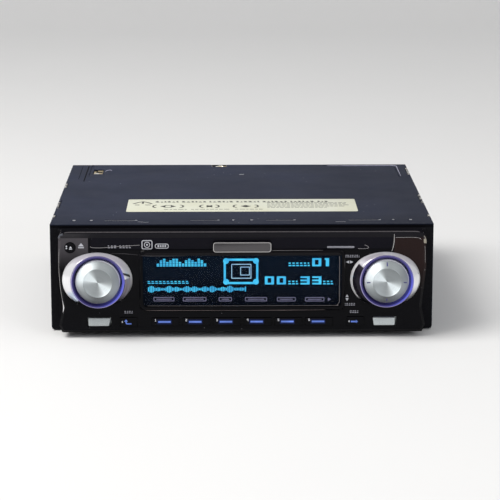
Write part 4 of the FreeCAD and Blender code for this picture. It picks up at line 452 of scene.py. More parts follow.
def lit_ring(name, shade, level, centre, inner, outer):
    """Milky light guide: deep blue and darker by the cap, as painted shadow; pale outside,
    brightest low on its right.
    """
    tree = new_tree(name)
    radius, angle = tree.around(centre)

    def reach(share):
        return inner + share * (outer - inner)

    # Painted shadow of the cap: the ring is darker near its inner edge.
    across = radius.ramp(reach(0.05), reach(0.35))
    rim = radius.ramp(reach(0.66), reach(0.84))
    low = 0.25 + 0.75 * tree.sector(angle, 235.0, 62.0, 40.0)
    cloud = tree.noise(160.0)
    milk = tree.mix(across, (0.008, 0.007, 0.034), (0.030, 0.026, 0.080))
    glow = tree.mix(across, scaled(shade, 0.40), shade)
    glow = tree.mix(tree.lobe(angle, 335.0, 2.5) * (0.25 + 0.75 * across), glow, (0.10, 0.12, 0.62))
    glow = tree.mix(rim * low, glow, (0.34, 0.31, 0.50))
    return tree.surface(
        base_color=tree.mix(cloud * 0.3, milk, (0.03, 0.03, 0.07)), specular_ior_level=0.12,
        roughness=0.22 + 0.1 * cloud, emission_color=glow, emission_strength=level)


def lit_mark(name, shade, level, core=1.25, line=None):
    """A lit mark: a little uneven, as light from one lamp behind it is; paler along a line."""
    tree = new_tree(name)
    cloud = tree.noise(240.0)
    glow = tree.mottled(shade, cloud, 0.82, core)
    if line is not None:
        height, reach = line
        off = abs(tree.axes()[2] - height * MM)
        glow = tree.mix(off.ramp(reach * MM * 0.35, reach * MM), glow, scaled(shade, 0.32))
    return tree.surface(
        base_color=scaled(shade, 0.1), roughness=0.3 + 0.1 * cloud, specular_ior_level=0.1,
        emission_color=glow, emission_strength=level)


def printed_ink(name, shade, rough=0.45):
    tree = new_tree(name)
    cloud = tree.noise(1500.0)
    return tree.surface(
        base_color=tree.mottled(shade, cloud, 0.85), roughness=rough + 0.1 * cloud)


def paper_label(name, shade):
    """Coated paper: faint fibre and patches that have yellowed a little."""
    tree = new_tree(name)
    fibre = tree.noise(1.0, 4.0, tree.stretched(900.0, 2200.0, 900.0))
    aged = tuple(channel * fade for channel, fade in zip(shade, (0.94, 0.92, 0.84)))
    tone = tree.mix(tree.noise(32.0, 3.0).ramp(0.3, 0.75), shade, aged)
    tone = tree.mix(fibre.ramp(0.35, 0.65) * 0.16, tone, scaled(shade, 0.7))
    return tree.surface(
        base_color=tone, roughness=0.52 + 0.1 * fibre, normal=tree.bump(fibre, 0.12, 0.00003))


def smoked_glass(name):
    """Clear lens with faint wipe marks."""
    tree = new_tree(name)
    wipe = tree.noise(1.0, 3.0, tree.stretched(60.0, 60.0, 240.0))
    return tree.surface(
        base_color=tree.mix(wipe, (0.003, 0.005, 0.010), (0.006, 0.009, 0.016)),
        roughness=0.03 + 0.05 * wipe.ramp(0.45, 0.75), specular_ior_level=0.05, alpha=0.25)


def display_ground(name, shade):
    """Unlit ground of the display: a fine grid of cells, bluer towards the top."""
    tree = new_tree(name)
    x, y, z = tree.axes()
    across, up = tree.math("FRACT", x * 2400.0), tree.math("FRACT", z * 2400.0)
    grid = tree.math("MAXIMUM", across < 0.18, up < 0.18)
    tone = tree.mottled(shade, z, 0.7, 1.6, 0.012, 0.040)
    glow = tree.mix(z.ramp(0.014, 0.040), (0.0015, 0.002, 0.004), (0.002, 0.006, 0.013))
    return tree.surface(
        base_color=tree.mix(grid * 0.35, tone, scaled(shade, 0.45)),
        roughness=0.32 + 0.1 * tree.noise(200.0), specular_ior_level=0.03,
        emission_color=glow, emission_strength=1.0)


def circuit_board(name, shade):
    """Solder mask over copper tracks and pads."""
    tree = new_tree(name)
    lanes = tree.node("ShaderNodeTexBrick", {"offset": 0.35}, {
        "Vector": tree.place(), "Scale": 210.0, "Mortar Size": 0.05, "Bias": 0.0,
        "Brick Width": 1.8, "Row Height": 0.24}, output=1)
    pads = tree.cells(620.0) < 0.16
    some = tree.noise(90.0, 1.0) > 0.52
    tone = tree.mix(lanes * 0.6, shade, scaled(shade, 1.7))
    return tree.surface(
        base_color=tree.mix(pads * some, tone, (0.62, 0.60, 0.55)),
        roughness=0.30 + 0.1 * tree.noise(300.0), normal=tree.bump(lanes, 0.2, 0.00005))


def silver_lacquer(name, shade):
    """Silver lacquer: fine metal flakes under a satin top coat."""
    tree = new_tree(name)
    flake, wide = tree.cells(5200.0), tree.noise(120.0)
    tone = tree.mottled(shade, flake, 1.2, 0.86, 0.1, 0.6)
    tone = tree.mix(wide.ramp(0.35, 0.65) * 0.3, tone, scaled(shade, 0.8))
    return tree.surface(
        base_color=tone, metallic=0.55, roughness=0.34 + 0.1 * wide,
        normal=tree.bump(flake, 0.08, 0.00003))


BARE = (900.0, 900.0, 900.0)

# Each material's maker and its arguments; a text stands for the setting of that path.
LOOKS = {
    "cover_paint": (painted_sheet, "case.paint"),
    "case_paint": (painted_sheet, "case.paint", 0.04895),
    "bare_steel": (zinc_steel, (0.60, 0.60, 0.58)),
    "spring_brass": (zinc_steel, (0.74, 0.58, 0.30), (900.0, 60.0, 900.0), 0.3),
    "spring_bright": (zinc_steel, (0.97, 0.92, 0.82), BARE, 0.25),
    "worn_metal": (zinc_steel, (0.72, 0.73, 0.76), BARE, 0.28),
    "sink_alloy": (zinc_steel, (0.56, 0.57, 0.59), (1600.0, 1600.0, 40.0), 0.42),
    "motor_steel": (zinc_steel, (0.52, 0.52, 0.53), (1500.0, 1500.0, 30.0), 0.3),
    "gloss_black": (gloss_moulding, "panel.gloss", "panel.block_left", "panel.block_right"),
    "key_black": (gloss_moulding, "panel.gloss"),
    "silver_key": (silver_lacquer, "keys.silver"),
    "display_cell": (display_ground, "display.ground"),
    "display_glass": (smoked_glass,),
    "board_green": (circuit_board, (0.020, 0.10, 0.045)),
    "label_paper": (paper_label, "case.paper"),
    # black_moulding's top faces above 48.6 mm wear painted shade: dull and darker.
    "black_moulding": (moulding, (0.007, 0.007, 0.009), 0.52, 0.25, 0.05, 1500.0, 0.00006, 0.0486),
    "chip_black": (moulding, (0.03, 0.03, 0.03), 0.6, 0.25, 0.25, 3000.0),
    "iron_core": (moulding, (0.07, 0.065, 0.06), 0.62, 0.25, 0.25, 900.0, 0.0001),
    "socket_plastic": (moulding, (0.022, 0.022, 0.024), 0.44, 0.25, 0.25, 1200.0, 0.00004),
    "fuse_plastic": (moulding, (0.55, 0.045, 0.03), 0.25, 0.12, 0.25, 500.0, 0.00002),
    "damper_rubber": (moulding, (0.03, 0.03, 0.032), 0.75, 0.25, 0.25, 1100.0, 0.0001),
    "gear_plastic": (moulding, (0.62, 0.62, 0.58), 0.4, 0.06),
    "guide_plastic": (moulding, (0.05, 0.05, 0.055), 0.45, 0.25, 0.25, 1100.0, 0.00005),
    "cover_shade": (moulding, (0.004, 0.004, 0.006), 0.6, 0.2, 0.02, 1500.0, 0.00005),
    "bead_paint": (moulding, (0.30, 0.30, 0.38), 0.5, 0.2, 0.05, 1800.0, 0.00004),
    "line_ring_red": (moulding, (0.42, 0.018, 0.012), 0.35, 0.08),
    "line_ring_white": (moulding, (0.70, 0.69, 0.64), 0.35, 0.08),
    "head_ledge_black": (moulding, (0.0105, 0.0098, 0.0115), 0.4, 0.1, 0.05),
    "head_edge_grey": (moulding, (0.040, 0.038, 0.042), 0.4, 0.1, 0.05),
    "lip_grey": (moulding, (0.078, 0.072, 0.077), 0.5, 0.12, 0.02),
    "pad_cream": (moulding, (0.34, 0.31, 0.25), 0.35, 0.1),
    "pad_grey": (moulding, (0.075, 0.080, 0.098), 0.35, 0.1),
    "trim_silver": (plated, "panel.silver", 0.16),
    "glint_silver": (plated, (0.85, 0.84, 0.86), 0.12),
    "strip_silver": (plated, (0.30, 0.29, 0.30), 0.2),
    "head_line_silver": (plated, (0.24, 0.23, 0.24), 0.25),
    "foot_line_silver": (plated, (0.22, 0.18, 0.18), 0.25),
    "border_grey": (plated, (0.17, 0.155, 0.155), 0.25),
    "badge_satin": (plated, (0.105, 0.10, 0.105), 0.3),
    "badge_chrome": (plated, (0.50, 0.49, 0.49), 0.14),
    "label_ink": (printed_ink, (0.035, 0.035, 0.03)),
    "label_grey": (printed_ink, (0.16, 0.16, 0.14)),
    "legend_white": (printed_ink, (0.52, 0.53, 0.58), 0.35),
    "legend_grey": (printed_ink, (0.26, 0.26, 0.30), 0.35),
    "figure_white": (printed_ink, (0.62, 0.63, 0.68), 0.35),
    "cap_mark_blue": (printed_ink, (0.055, 0.05, 0.20), 0.3),
    "dot_black": (printed_ink, (0.01, 0.01, 0.02)),
    "key_light_spill": (lit_mark, (0.004, 0.008, 0.040), 1.0),
    "segment_light": (lit_mark, "display.lit", "display.level"),
    "segment_dim": (lit_mark, "display.dim", 0.9),
}


MADE = {}


def look(name):
    """The material of that name, made when it is first asked for."""
    if name not in MADE:
        maker, *values = LOOKS[name]
        settings = bpy.context.scene.head_unit
        MADE[name] = maker(name, *(
            attrgetter(value)(settings) if isinstance(value, str) else value for value in values))
    return MADE[name]


def wear(*finishes):
    """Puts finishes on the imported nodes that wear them."""
    for finish in finishes:
        for node in WEARS[finish]:
            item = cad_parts[node]
            if not item.material_slots:
                item.data.materials.append(look(finish))
            for slot in item.material_slots:
                slot.material = look(finish)


# ---------------------------------------------------------------- outlines, in millimetres

def box_outline(left, right, low, high, radius=0.0, steps=6):
    """A rectangle with rounded corners, anticlockwise."""
    if radius <= 0:
        return [(left, low), (right, low), (right, high), (left, high)]
    points = []
    corners = (((right - radius, low + radius), -90), ((right - radius, high - radius), 0),
               ((left + radius, high - radius), 90), ((left + radius, low + radius), 180))
    for (u, v), start in corners:
        for step in range(steps + 1):
            turn = math.radians(start + 90 * step / steps)
            points.append((u + radius * math.cos(turn), v + radius * math.sin(turn)))
    return points


def circle_outline(u, v, radius, steps=48):
    turns = [2 * math.pi * step / steps for step in range(steps)]
    return [(u + radius * math.cos(turn), v + radius * math.sin(turn)) for turn in turns]


def signed_area(outline):
    pairs = zip(outline, outline[1:] + outline[:1])
    return sum(a[0] * b[1] - b[0] * a[1] for a, b in pairs) / 2


def inset(outline, distance):
    """The outline moved inwards, corner for corner."""
    turn = 1 if signed_area(outline) > 0 else -1
    moved = []
    count = len(outline)
    for index in range(count):
        before = Vector(outline[index - 1])
        here = Vector(outline[index])
        after = Vector(outline[(index + 1) % count])
        first, second = (here - before).normalized(), (after - here).normalized()
        normal = Vector((-first.y - second.y, first.x + second.x)) * turn
        if normal.length < 1e-6:
            normal = Vector((-first.y, first.x)) * turn
        normal.normalize()
        lean = max(0.35, abs(normal.dot(Vector((-first.y, first.x)) * turn)))
        moved.append(tuple(here + normal * distance / lean))
    return moved


def stroke_outline(points, width):
    """The outline of an open line of the given width."""
    left, right = [], []
    for index, point in enumerate(points):
        here = Vector(point)
        before = Vector(points[max(0, index - 1)])
        after = Vector(points[min(len(points) - 1, index + 1)])
        along = (after - before).normalized()
        side = Vector((-along.y, along.x)) * width / 2
        left.append(tuple(here + side))
        right.append(tuple(here - side))
    return right + left[::-1]


def smooth_path(points, steps=8):
    """A line through the points without corners."""
    path = []
    padded = [points[0]] + list(points) + [points[-1]]
    for index in range(1, len(padded) - 2):
        p0, p1, p2, p3 = (Vector(padded[index + shift]) for shift in (-1, 0, 1, 2))
        for step in range(steps):
            t = step / steps
            path.append(0.5 * ((2 * p1) + (p2 - p0) * t + (2 * p0 - 5 * p1 + 4 * p2 - p3) * t * t
                               + (3 * p1 - p0 - 3 * p2 + p3) * t ** 3))
    path.append(Vector(points[-1]))
    return path


def row_of(left, right, widths, gap, shift=0, word=None):
    """Small marks in a row: the number, the place and the width of each."""
    place, number = left, 0
    while place < right:
        width = widths[(number + shift) % len(widths)]
        yield number, place, width
        number += 1
        place += width + (word[1] if word and number % word[0] == 0 else gap)


# ---------------------------------------------------------------- solids

class Solid:
    """A mesh in the making, in mm: drawn from the front, or from above a ground level.

    Plates go from the level back to the level face, unless they are given their own levels.
    """

    def __init__(self, back=0.0, face=0.0, ground=None):
        self.mesh = bmesh.new()
        self.levels = back, face
        self.ground = ground
        self.tone = 0

    def at(self, point, level):
        """A point of the drawing plane."""
        if self.ground is None:
            return Vector((point[0], level, point[1]))
        return Vector((point[0], point[1], self.ground + level))

    def loop(self, points):
        return [self.mesh.verts.new(point) for point in points]

    def drawn(self, outline, level):
        return self.loop([self.at(point, level) for point in outline])

    def cap(self, loop):
        """One face in the tone that is drawn with."""
        self.mesh.faces.new(loop).material_index = self.tone

    def band(self, first, second):
        """The faces between two loops."""
        for index in range(len(first)):
            after = (index + 1) % len(first)
            self.cap((first[index], first[after], second[after], second[index]))

    def bands(self, loops):
        for first, second in zip(loops, loops[1:]):
            self.band(first, second)

    def slab(self, outline, edge=0.0, levels=None):
        """A plate between two levels, with a softened edge on its face."""
        back, face = levels or self.levels
        edge = min(edge, abs(face - back) * 0.9)
        toward = 1 if face > back else -1
        loops = [self.drawn(outline, back)]
        if edge:
            for turn in (0.0, math.pi / 4, math.pi / 2):
                loops.append(self.drawn(inset(outline, edge * (1 - math.cos(turn))),
                                        face - toward * edge * (1 - math.sin(turn))))
        else:
            loops.append(self.drawn(outline, face))
        self.bands(loops)
        self.cap(loops[0][::-1])
        self.cap(loops[-1])
        return self

    def box(self, left, right, low, high, radius=0.0, steps=6, **how):
        return self.slab(box_outline(left, right, low, high, radius, steps), **how)

    def disc(self, u, v, radius, steps, **how):
        return self.slab(circle_outline(u, v, radius, steps), **how)

    def stroke(self, points, width, **how):
        return self.slab(stroke_outline(points, width), **how)

    def holed(self, outer, inner):
        """A plate with a hole; inner is its outline, or how far it lies inside the outer one."""
        back, face = self.levels
        if isinstance(inner, float):
            inner = inset(outer, inner)
        loops = [self.drawn(outline, level) for outline, level in
                 ((outer, back), (outer, face), (inner, face), (inner, back))]
        self.bands(loops + loops[:1])
        return self

    def lay_on(self, start, end, width, first, second, thick=0.05):
        """A short straight mark on a slope: its face goes from the level first to second."""
        points = list(zip(stroke_outline([start, end], width), (first, second, second, first)))
        loops = [self.loop([self.at(point, level + sink) for point, level in points])
                 for sink in (thick, 0.0)]
        self.band(*loops)
        self.cap(loops[0][::-1])
        self.cap(loops[1])

    def turned(self, profile, centre, steps):
        """Turns a profile of (radius, level) about an axis square to the drawing plane."""
        loops = [self.drawn(circle_outline(*centre, radius, steps) if radius > 1e-6 else [centre],
                            level) for radius, level in profile]
        for first, second in zip(loops, loops[1:]):
            if len(first) == len(second):
                self.band(first, second)
            else:
                hub, rim = (first[0], second) if len(first) == 1 else (second[0], first)
                for index in range(steps):
                    self.cap((rim[index], rim[(index + 1) % steps], hub))
        return self

    def joined(self):
        """Closes profiles that end where they began."""
        bmesh.ops.remove_doubles(self.mesh, verts=self.mesh.verts[:], dist=0.001)
        return self

    def tube(self, path, radii, sides=8):
        """A round bar along a line of points; radii is one number or one a point."""
        path = [Vector(point) for point in path]
        if isinstance(radii, float):
            radii = [radii] * len(path)
        turns = [2 * math.pi * step / sides for step in range(sides)]
        loops = []
        for index, point in enumerate(path):
            along = (path[min(len(path) - 1, index + 1)] - path[max(0, index - 1)]).normalized()
            side = along.cross(Vector((0, 1, 0)))
            if side.length < 1e-4:
                side = along.cross(Vector((1, 0, 0)))
            side.normalize()
            up = side.cross(along)
            loops.append(self.loop([
                point + (side * math.cos(turn) + up * math.sin(turn)) * radii[index]
                for turn in turns]))
        self.bands(loops)
        self.cap(loops[0][::-1])
        self.cap(loops[-1])
        return self

    def line(self, points, radii, sides=8):
        """A round bar through points of the drawing plane, at the level back."""
        return self.tube([self.at(point, self.levels[0]) for point in points], radii, sides)

    def to_object(self, name, material, sharp=None):
        """Ends the mesh as an object in metres, its edges sharp beyond an angle in degrees."""
        bmesh.ops.scale(self.mesh, vec=(MM, MM, MM), verts=self.mesh.verts[:])
        for face in self.mesh.faces:
            face.smooth = True
        for edge in self.mesh.edges:
            edge.smooth = sharp is None or not (
                edge.is_manifold and edge.calc_face_angle(0.0) > math.radians(sharp))
        data = bpy.data.meshes.new(name)
        self.mesh.to_mesh(data)
        self.mesh.free()
        data.materials.append(material)
        item = bpy.data.objects.new(name, data)
        bpy.context.scene.collection.objects.link(item)
        return item

    def finish(self, name, material, body="panel", slot="silver_key", replaces=(), sharp=32.0):
        """Ends the mesh as a named piece that rides on a body."""
        bmesh.ops.recalc_face_normals(self.mesh, faces=self.mesh.faces[:])
        piece = self.to_object(
            name, look(material) if isinstance(material, str) else material, sharp)
        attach(piece, body)
        if replaces:
            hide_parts(*replaces)
        return piece


# ---------------------------------------------------------------- the case

TOP = span("top_cover")[1].z
STRIP = -93.25  # front of the name strip
BLOCK = -94.5  # front of the display block
LEGEND = -93.7, -93.82  # back and face of the marks beside the knobs
CORNER = -93.0  # front of the panel's corners
DIMPLES = (-78.7, -70.6, -4.3, 4.3, 70.6, 78.7)
COVER_SLOTS = ((-57.0, 14.0), (-17.8, 12.5), (17.8, 12.5), (57.0, 14.0))  # middle and length


def dress_case(settings):
    """Paint, and on the cover its dimples and bead, with painted light: glints along its front row,
    on its springs and near its middle, shade along its ribs and in its notch and window, and a
    highlight on the bead.
    """
    wear("cover_paint", "case_paint")
    radius = settings.case.dimple / MM
    dimples = Solid(ground=TOP)
    for x in DIMPLES:
        dimples.turned([(radius * share, rise) for share, rise in (
            (0, -0.14), (1.5, -0.14), (1.5, -0.05), (1.3, 0.05), (1, 0.09), (0.7, 0.03),
            (0.35, -0.05), (0, -0.06))], (x, -69.2), 32)
    dimples.finish("cover_dimples", "cover_paint", "case", "cover_paint")

    # Painted glints: bright dots by the dimples and bright dashes along the slots of the front row.
    glints = Solid(-0.1, 0.04, TOP)
    for x, reach in zip(DIMPLES, (0.75, 0.75, 0.6, 0.75, 0.6, 0.75)):
        glints.disc(x + 0.35, -69.1, reach, 20, edge=0.04, levels=(0.02, 0.1))
    for x, long in COVER_SLOTS:
        half = long / 2
        glints.stroke([(x - half, -69.65), (x, -69.68), (x + half + 0.4, -69.6)], 0.28)
        glints.disc(x + half + 0.7, -69.0, 0.55, 16, edge=0.03, levels=(-0.1, 0.05))
    glints.stroke(smooth_path([(-48.4, -72.6), (-46.6, -73.0), (-45.2, -73.7), (-43.4, -73.5)], 4),
                  0.35)
    glints.stroke([(43.8, -73.4), (48.3, -73.5)], 0.35)
    glints.finish("cover_front_glints", "worn_metal", "case", "bare_steel")

    # Painted shade: dark strips along the two pressed ribs at the rear left.
    ribs = Solid(-0.2, 0.05, TOP).stroke([(-80.2, 75.0), (-80.2, 30.5)], 0.6)
    ribs.stroke([(-83.3, 74.5), (-83.3, 37.0)], 0.3, levels=(-0.2, 0.03))
    ribs.finish("cover_rib_shadows", "cover_shade", "case", "cover_paint")

    # Painted shade: dark sheets in the notch at the rear and in the spring window.
    shade = Solid(-0.45, -0.33, TOP)
    shade.box(-14.6, -6.8, 77.65, 78.4, levels=(-0.95, -0.02))
    shade.box(-14.2, -11.6, 73.1, 77.2, levels=(-0.5, -0.2))
    shade.slab([(-75.4, 57.6), (-72.2, 57.0), (-72.1, 59.6), (-75.3, 60.4)])
    shade.slab([(-76.3, 60.8), (-74.6, 61.4), (-74.8, 63.9), (-76.3, 63.9)])
    shade.finish("cover_painted_shadows", "cover_shade", "case", "cover_paint")

    # Painted glints: a bright curl on the spring in the notch and a bright patch on the spring in
    # the window.
    curls = Solid(-0.45, -0.3, TOP)
    curls.tube([(-13.3, 72.9, TOP - 0.3), (-12.2, 73.2, TOP - 0.1), (-10.8, 74.2, TOP),
                (-9.3, 74.4, TOP - 0.02), (-8.3, 73.4, TOP - 0.3)], [0.12, 0.28, 0.36, 0.3, 0.12])
    curls.slab([(-76.3, 52.2), (-74.4, 52.0), (-73.4, 54.6), (-74.6, 56.6), (-76.2, 55.4)])
    curls.finish("spring_glints", "spring_bright", "case", "bare_steel")

    # A raised bead along the rear right and an arc by the window; their pale colour is a painted
    # highlight.
    turns = [math.radians(angle) for angle in range(0, 91, 15)]
    line = [(46.9, 74.4), (62.0, 74.4), (81.8, 74.4),
            *((82.0 + 1.8 * math.sin(turn), 72.6 + 1.8 * math.cos(turn)) for turn in turns),
            (83.8, 44.0)]
    bead = Solid(ground=TOP).line(line, [0.2, 0.3] + [0.34] * 4 + [0.3] * (len(line) - 7) + [0.15])
    bead.tube([(-70.9, 58.4, TOP), (-69.9, 61.3, TOP + 0.05), (-68.4, 62.6, TOP + 0.05),
               (-67.2, 61.7, TOP)], [0.08, 0.3, 0.32, 0.1])
    bead.finish("cover_bead_with_highlight", "bead_paint", "case", "cover_paint")

    # A painted highlight: a bright spot near the middle of the cover's rear half.
    Solid(-0.05, 0.04, TOP).slab([
        (-0.2, 48.6), (1.1, 48.9), (2.3, 49.4), (2.1, 50.2), (0.8, 50.1), (-0.3, 49.5)]).finish(
            "cover_dot_glint", "worn_metal", "case", "bare_steel")
    dress_sockets()


def dress_sockets():
    """Coloured end rings and bare contacts of the two line-out barrels, at the rear."""
    low, high = span("line_sockets")
    middle_x, z, end = (low.x + high.x) / 2, (low.z + high.z) / 2, high.y
    contacts = Solid()
    for x, name in ((middle_x - 7.0, "line_ring_red"), (middle_x + 7.0, "line_ring_white")):
        Solid().turned([(radius, end + level) for radius, level in (
            (2.6, -0.1), (2.6, 0.06), (4.25, 0.06), (4.4, -0.1), (4.4, -1.6), (4.2, -1.6),
            (4.2, -0.1), (2.6, -0.1))], (x, z), 48).joined().finish(
                name, name, "case", "socket_plastic")
        contacts.turned([(radius, end + level) for radius, level in (
            (1.65, -1.0), (1.65, 0.08), (2.3, 0.08), (2.3, -1.0), (1.65, -1.0))], (x, z), 40)
    contacts.joined().finish("line_contacts", "worn_metal", "case", "bare_steel")


def dress_label(settings):
    """A bare cream label with generic bars and outline pictures of plugs."""
    half, deep = settings.case.label_wide / MM / 2, settings.case.label_deep / MM / 2
    y = -settings.case.label_y / MM
    Solid(0.0, 0.1, TOP).box(-half + 0.4, half + 0.4, y - deep, y + deep, 1.2, 5, edge=0.04).finish(
        "cover_label", "label_paper", "case", "cover_paint")

    ink = Solid(0.08, 0.125, TOP)
    head = y + deep - 6.4
    for index, x, wide in row_of(-41.6, 42.5, (1.9, 1.4, 1.1, 1.7, 1.5, 1.2, 1.8), 0.5,
                                 word=(6, 1.5)):
        ink.box(x, x + wide, head - 1.5, head - 0.55)
        if index % 3 != 1:
            ink.box(x, x + wide * 0.8, head + 0.55, head + 1.5)
        ink.box(x + wide * 0.25, x + wide * 0.7, head - 0.55, head + 0.55)
    row = y - 2.4
    for start, end in ((-42.5, -27.9), (-19.9, -10.7), (-3.7, 8.2)):
        for edge, turn in ((start, -1), (end, 1)):
            ink.stroke([(edge - turn * inward, row + rise) for inward, rise in (
                (1.6, -3.4), (0.3, -2.0), (0.0, 0.0), (0.3, 2.0), (1.6, 3.4))], 0.9)
            tip = edge - turn * 3.4
            ink.slab([(tip, row), (tip - turn * 2.6, row + 2.8), (tip - turn * 2.6, row - 2.8)])
        if end - start > 12:
            for level in (row - 2.4, row + 2.4):
                ink.box(start + 5.6, end - 5.6, level - 0.45, level + 0.45)
    ink.stroke([(-52.3, y + 4.0), (-50.4, y + 6.8), (-47.7, y + 9.6), (-45.0, y + 6.8),
                (-43.2, y + 4.0)], 1.1)
    ink.stroke([(-47.7, y + 4.4), (-47.7, y + 9.0)], 0.9)
    for left, right in ((-51.4, -49.2), (-46.4, -43.8)):
        ink.box(left, right, y + 0.6, y + 1.8)
    ink.finish("label_print", "label_ink", "case", "cover_paint")

    fine = Solid(0.08, 0.125, TOP)
    rows = [(12.6, wide, y + 6.0 - line * 2.9)
            for line, wide in enumerate((39.0, 37.5, 39.5, 36.0, 29.0))]
    rows += [(-37.0, 11.5, y - 9.9), (-24.0, 17.0, y - 9.9), (-3.0, 12.0, y - 9.9)]
    for number, (left, wide, level) in enumerate(rows):
        for _, x, step in row_of(left, left + wide, (2.1, 1.3, 1.7, 2.6, 1.1), 0.55, number):
            fine.box(x, x + step, level - 0.5, level + 0.5)
    fine.finish("label_fine_print", "label_grey", "case", "cover_paint")


# ---------------------------------------------------------------- the moving panel

# The panel's edge from its top corner to its foot: half width and height.
SIDE_LINE = ((82.4, 46.0), (83.1, 45.0), (83.6, 43.2), (84.0, 40.0), (84.2, 33.0), (83.9, 26.5),
             (83.3, 20.5), (82.5, 15.8), (82.3, 13.6), (83.0, 9.6), (83.6, 6.4), (83.2, 4.6))


def dress_panel(settings):
    """Black finishes of the panel, its trim lines, ledges and badge, and painted highlights: along
    its side and top edges, on its corners, and along the display block's top and lower edges.
    """
    wear("black_moulding", "gloss_black", "key_black")
    radius = settings.panel.line / MM

    # Painted highlight along the panel's left side edge, drawn as a thin silver line.
    path = [(0.25 - point.x, point.y) for point in smooth_path(SIDE_LINE, 5)]
    Solid(CORNER + 0.05).line(path, [radius * (0.7 + 0.5 * math.sin(math.pi * min(1.0, index / 14)))
                                     for index in range(len(path))], 10).finish(
        "panel_edge_highlight_left", "trim_silver")
    Solid().tube(
        [(-82.25, CORNER, 46.1), (-82.7, CORNER - 0.05, 45.6), (-83.0, CORNER - 0.05, 45.1),
         (-83.25, CORNER, 44.4)], [0.1, 0.3, 0.32, 0.1]).tube(
        [(-82.65, CORNER, 17.4), (-82.2, CORNER - 0.05, 15.4), (-82.05, CORNER - 0.05, 13.8),
         (-82.3, CORNER, 12.0), (-82.75, CORNER, 10.2)], [0.06, 0.2, 0.3, 0.22, 0.08]).finish(
        "corner_glint", "glint_silver")

    # Painted highlight along the panel's top right edge and right side, drawn as a thin silver
    # line.
    path = [(p.x - 0.2 * (p.x > 83), -93.8 if p.x < 82.0 else CORNER, p.y) for p in smooth_path([
        (70.2, 46.75), (75.0, 46.8), (79.4, 46.75), (81.3, 46.3), (82.6, 45.0), (83.5, 43.6),
        (84.0, 41.0), (84.1, 36.0), (84.0, 31.0)], 6)]
    Solid().tube(path, [radius * (0.75 - 0.3 * index / len(path)) for index in range(len(path))],
                 10).finish("panel_edge_highlight_right", "trim_silver")

    divide = Solid(STRIP - 0.35)
    for widest, points in (
            (1.5, ((69.55, 48.3), (69.5, 45.0), (69.0, 42.0), (68.3, 40.0))),
            (0.5, ((-82.0, 46.2), (-78.0, 46.3), (-73.0, 46.25), (-70.9, 45.9))),
            (0.5, ((-70.9, 45.6), (-70.9, 44.0), (-70.6, 42.0), (-70.2, 40.4)))):
        path = smooth_path(points, 5)
        divide.line(path, [
            radius * widest * (0.55 + 0.45 * math.sin(math.pi * index / (len(path) - 1)))
            for index in range(len(path))])
    divide.finish("corner_block_lines", "trim_silver")

    lines = Solid(STRIP + 0.1, STRIP - 0.07)
    for points in (((-70.0, 43.5), (-69.5, 42.8), (-68.2, 42.25), (-64.0, 42.2), (-58.0, 42.7),
                    (-46.9, 43.4)),
                   ((53.0, 41.5), (56.4, 41.45), (57.8, 41.8), (57.4, 42.6), (56.0, 43.2))):
        lines.stroke(smooth_path(points, 5), 0.2)
    lines.finish("name_strip_lines", "strip_silver")

    # A painted highlight along the display block's top edge.
    Solid(BLOCK + 0.03).line([(x, 41.0) for x in (13.4, 16.0, 24.0, 32.0, 37.0)],
                             [0.12, 0.16, 0.15, 0.14, 0.06]).finish(
        "display_head_highlight", "head_line_silver")
    Solid(BLOCK, BLOCK - 0.22).box(-46.3, 46.3, 38.6, 40.75, 0.8, edge=0.06).finish(
        "display_head_ledge", "head_ledge_black")
    # Painted sheen along the display block's top edge, on its left.
    Solid().tube([(-60.5, -93.8, 39.6), (-54.0, -93.82, 39.5), (-47.6, -93.82, 38.9)],
                 [0.06, 0.2, 0.1]).tube(
        [(-46.4, -94.75, 38.75), (-42.0, -94.78, 38.6), (-34.0, -94.78, 38.6),
         (-26.0, -94.75, 38.6)], [0.1, 0.22, 0.18, 0.06]).finish(
        "display_head_sheen", "head_edge_grey")

    # A painted highlight along the panel's rounded top edge, curving down at both corners.
    corner = smooth_path(((79.0, -90.5, 48.8), (80.6, -90.9, 48.7), (82.0, -91.8, 48.1),
                          (83.0, -92.6, 47.1), (83.5, CORNER, 46.1)), 4)
    line = [Vector((-p.x, p.y, p.z)) for p in reversed(corner)] + corner
    Solid().tube([point + Vector((0.0, -0.55, 0.0)) for point in line], 0.42).finish(
        "panel_top_highlight", "lip_grey")
    # Painted highlights on the panel's two top corners.
    for name, finish, points, wide, face in (
            ("corner_highlight_right", "pad_cream",
             ((82.2, 47.2), (83.1, 46.4), (83.5, 45.0), (83.5, 43.9)), 1.7, -93.55),
            ("corner_highlight_left", "pad_grey",
             ((-83.3, 46.4), (-83.1, 47.0), (-82.6, 47.6), (-81.7, 47.9)), 1.9, -93.4)):
        Solid(-92.7, face).stroke(smooth_path(points, 4), wide, edge=0.35).finish(name, finish)
    # A painted highlight along the display block's lower edge.
    Solid(BLOCK).line([(-44.4, 13.0), (-38.0, 12.95), (-20.0, 12.9), (0.0, 12.85), (20.0, 12.9),
                       (38.0, 13.0)], [0.06, 0.14, 0.1, 0.08, 0.14, 0.05]).finish(
        "display_foot_highlight", "foot_line_silver")

    low, high = 40.5, 44.85
    plate = Solid().box(-13.1, 13.1, 41.95, high, 0.9, edge=0.1, levels=(-92.86, -94.7))
    plate.box(-13.1, 13.1, low, high, 1.1, edge=0.15, levels=(-94.75, -95.1))
    plate.finish("badge_plate", "badge_satin")
    outer = box_outline(-13.25, 13.25, low - 0.15, high + 0.05, 1.2)
    Solid(-94.8, -95.28).holed(outer, settings.panel.badge_rim / MM).finish(
        "badge_rim", "badge_chrome", slot="bezel_chrome")


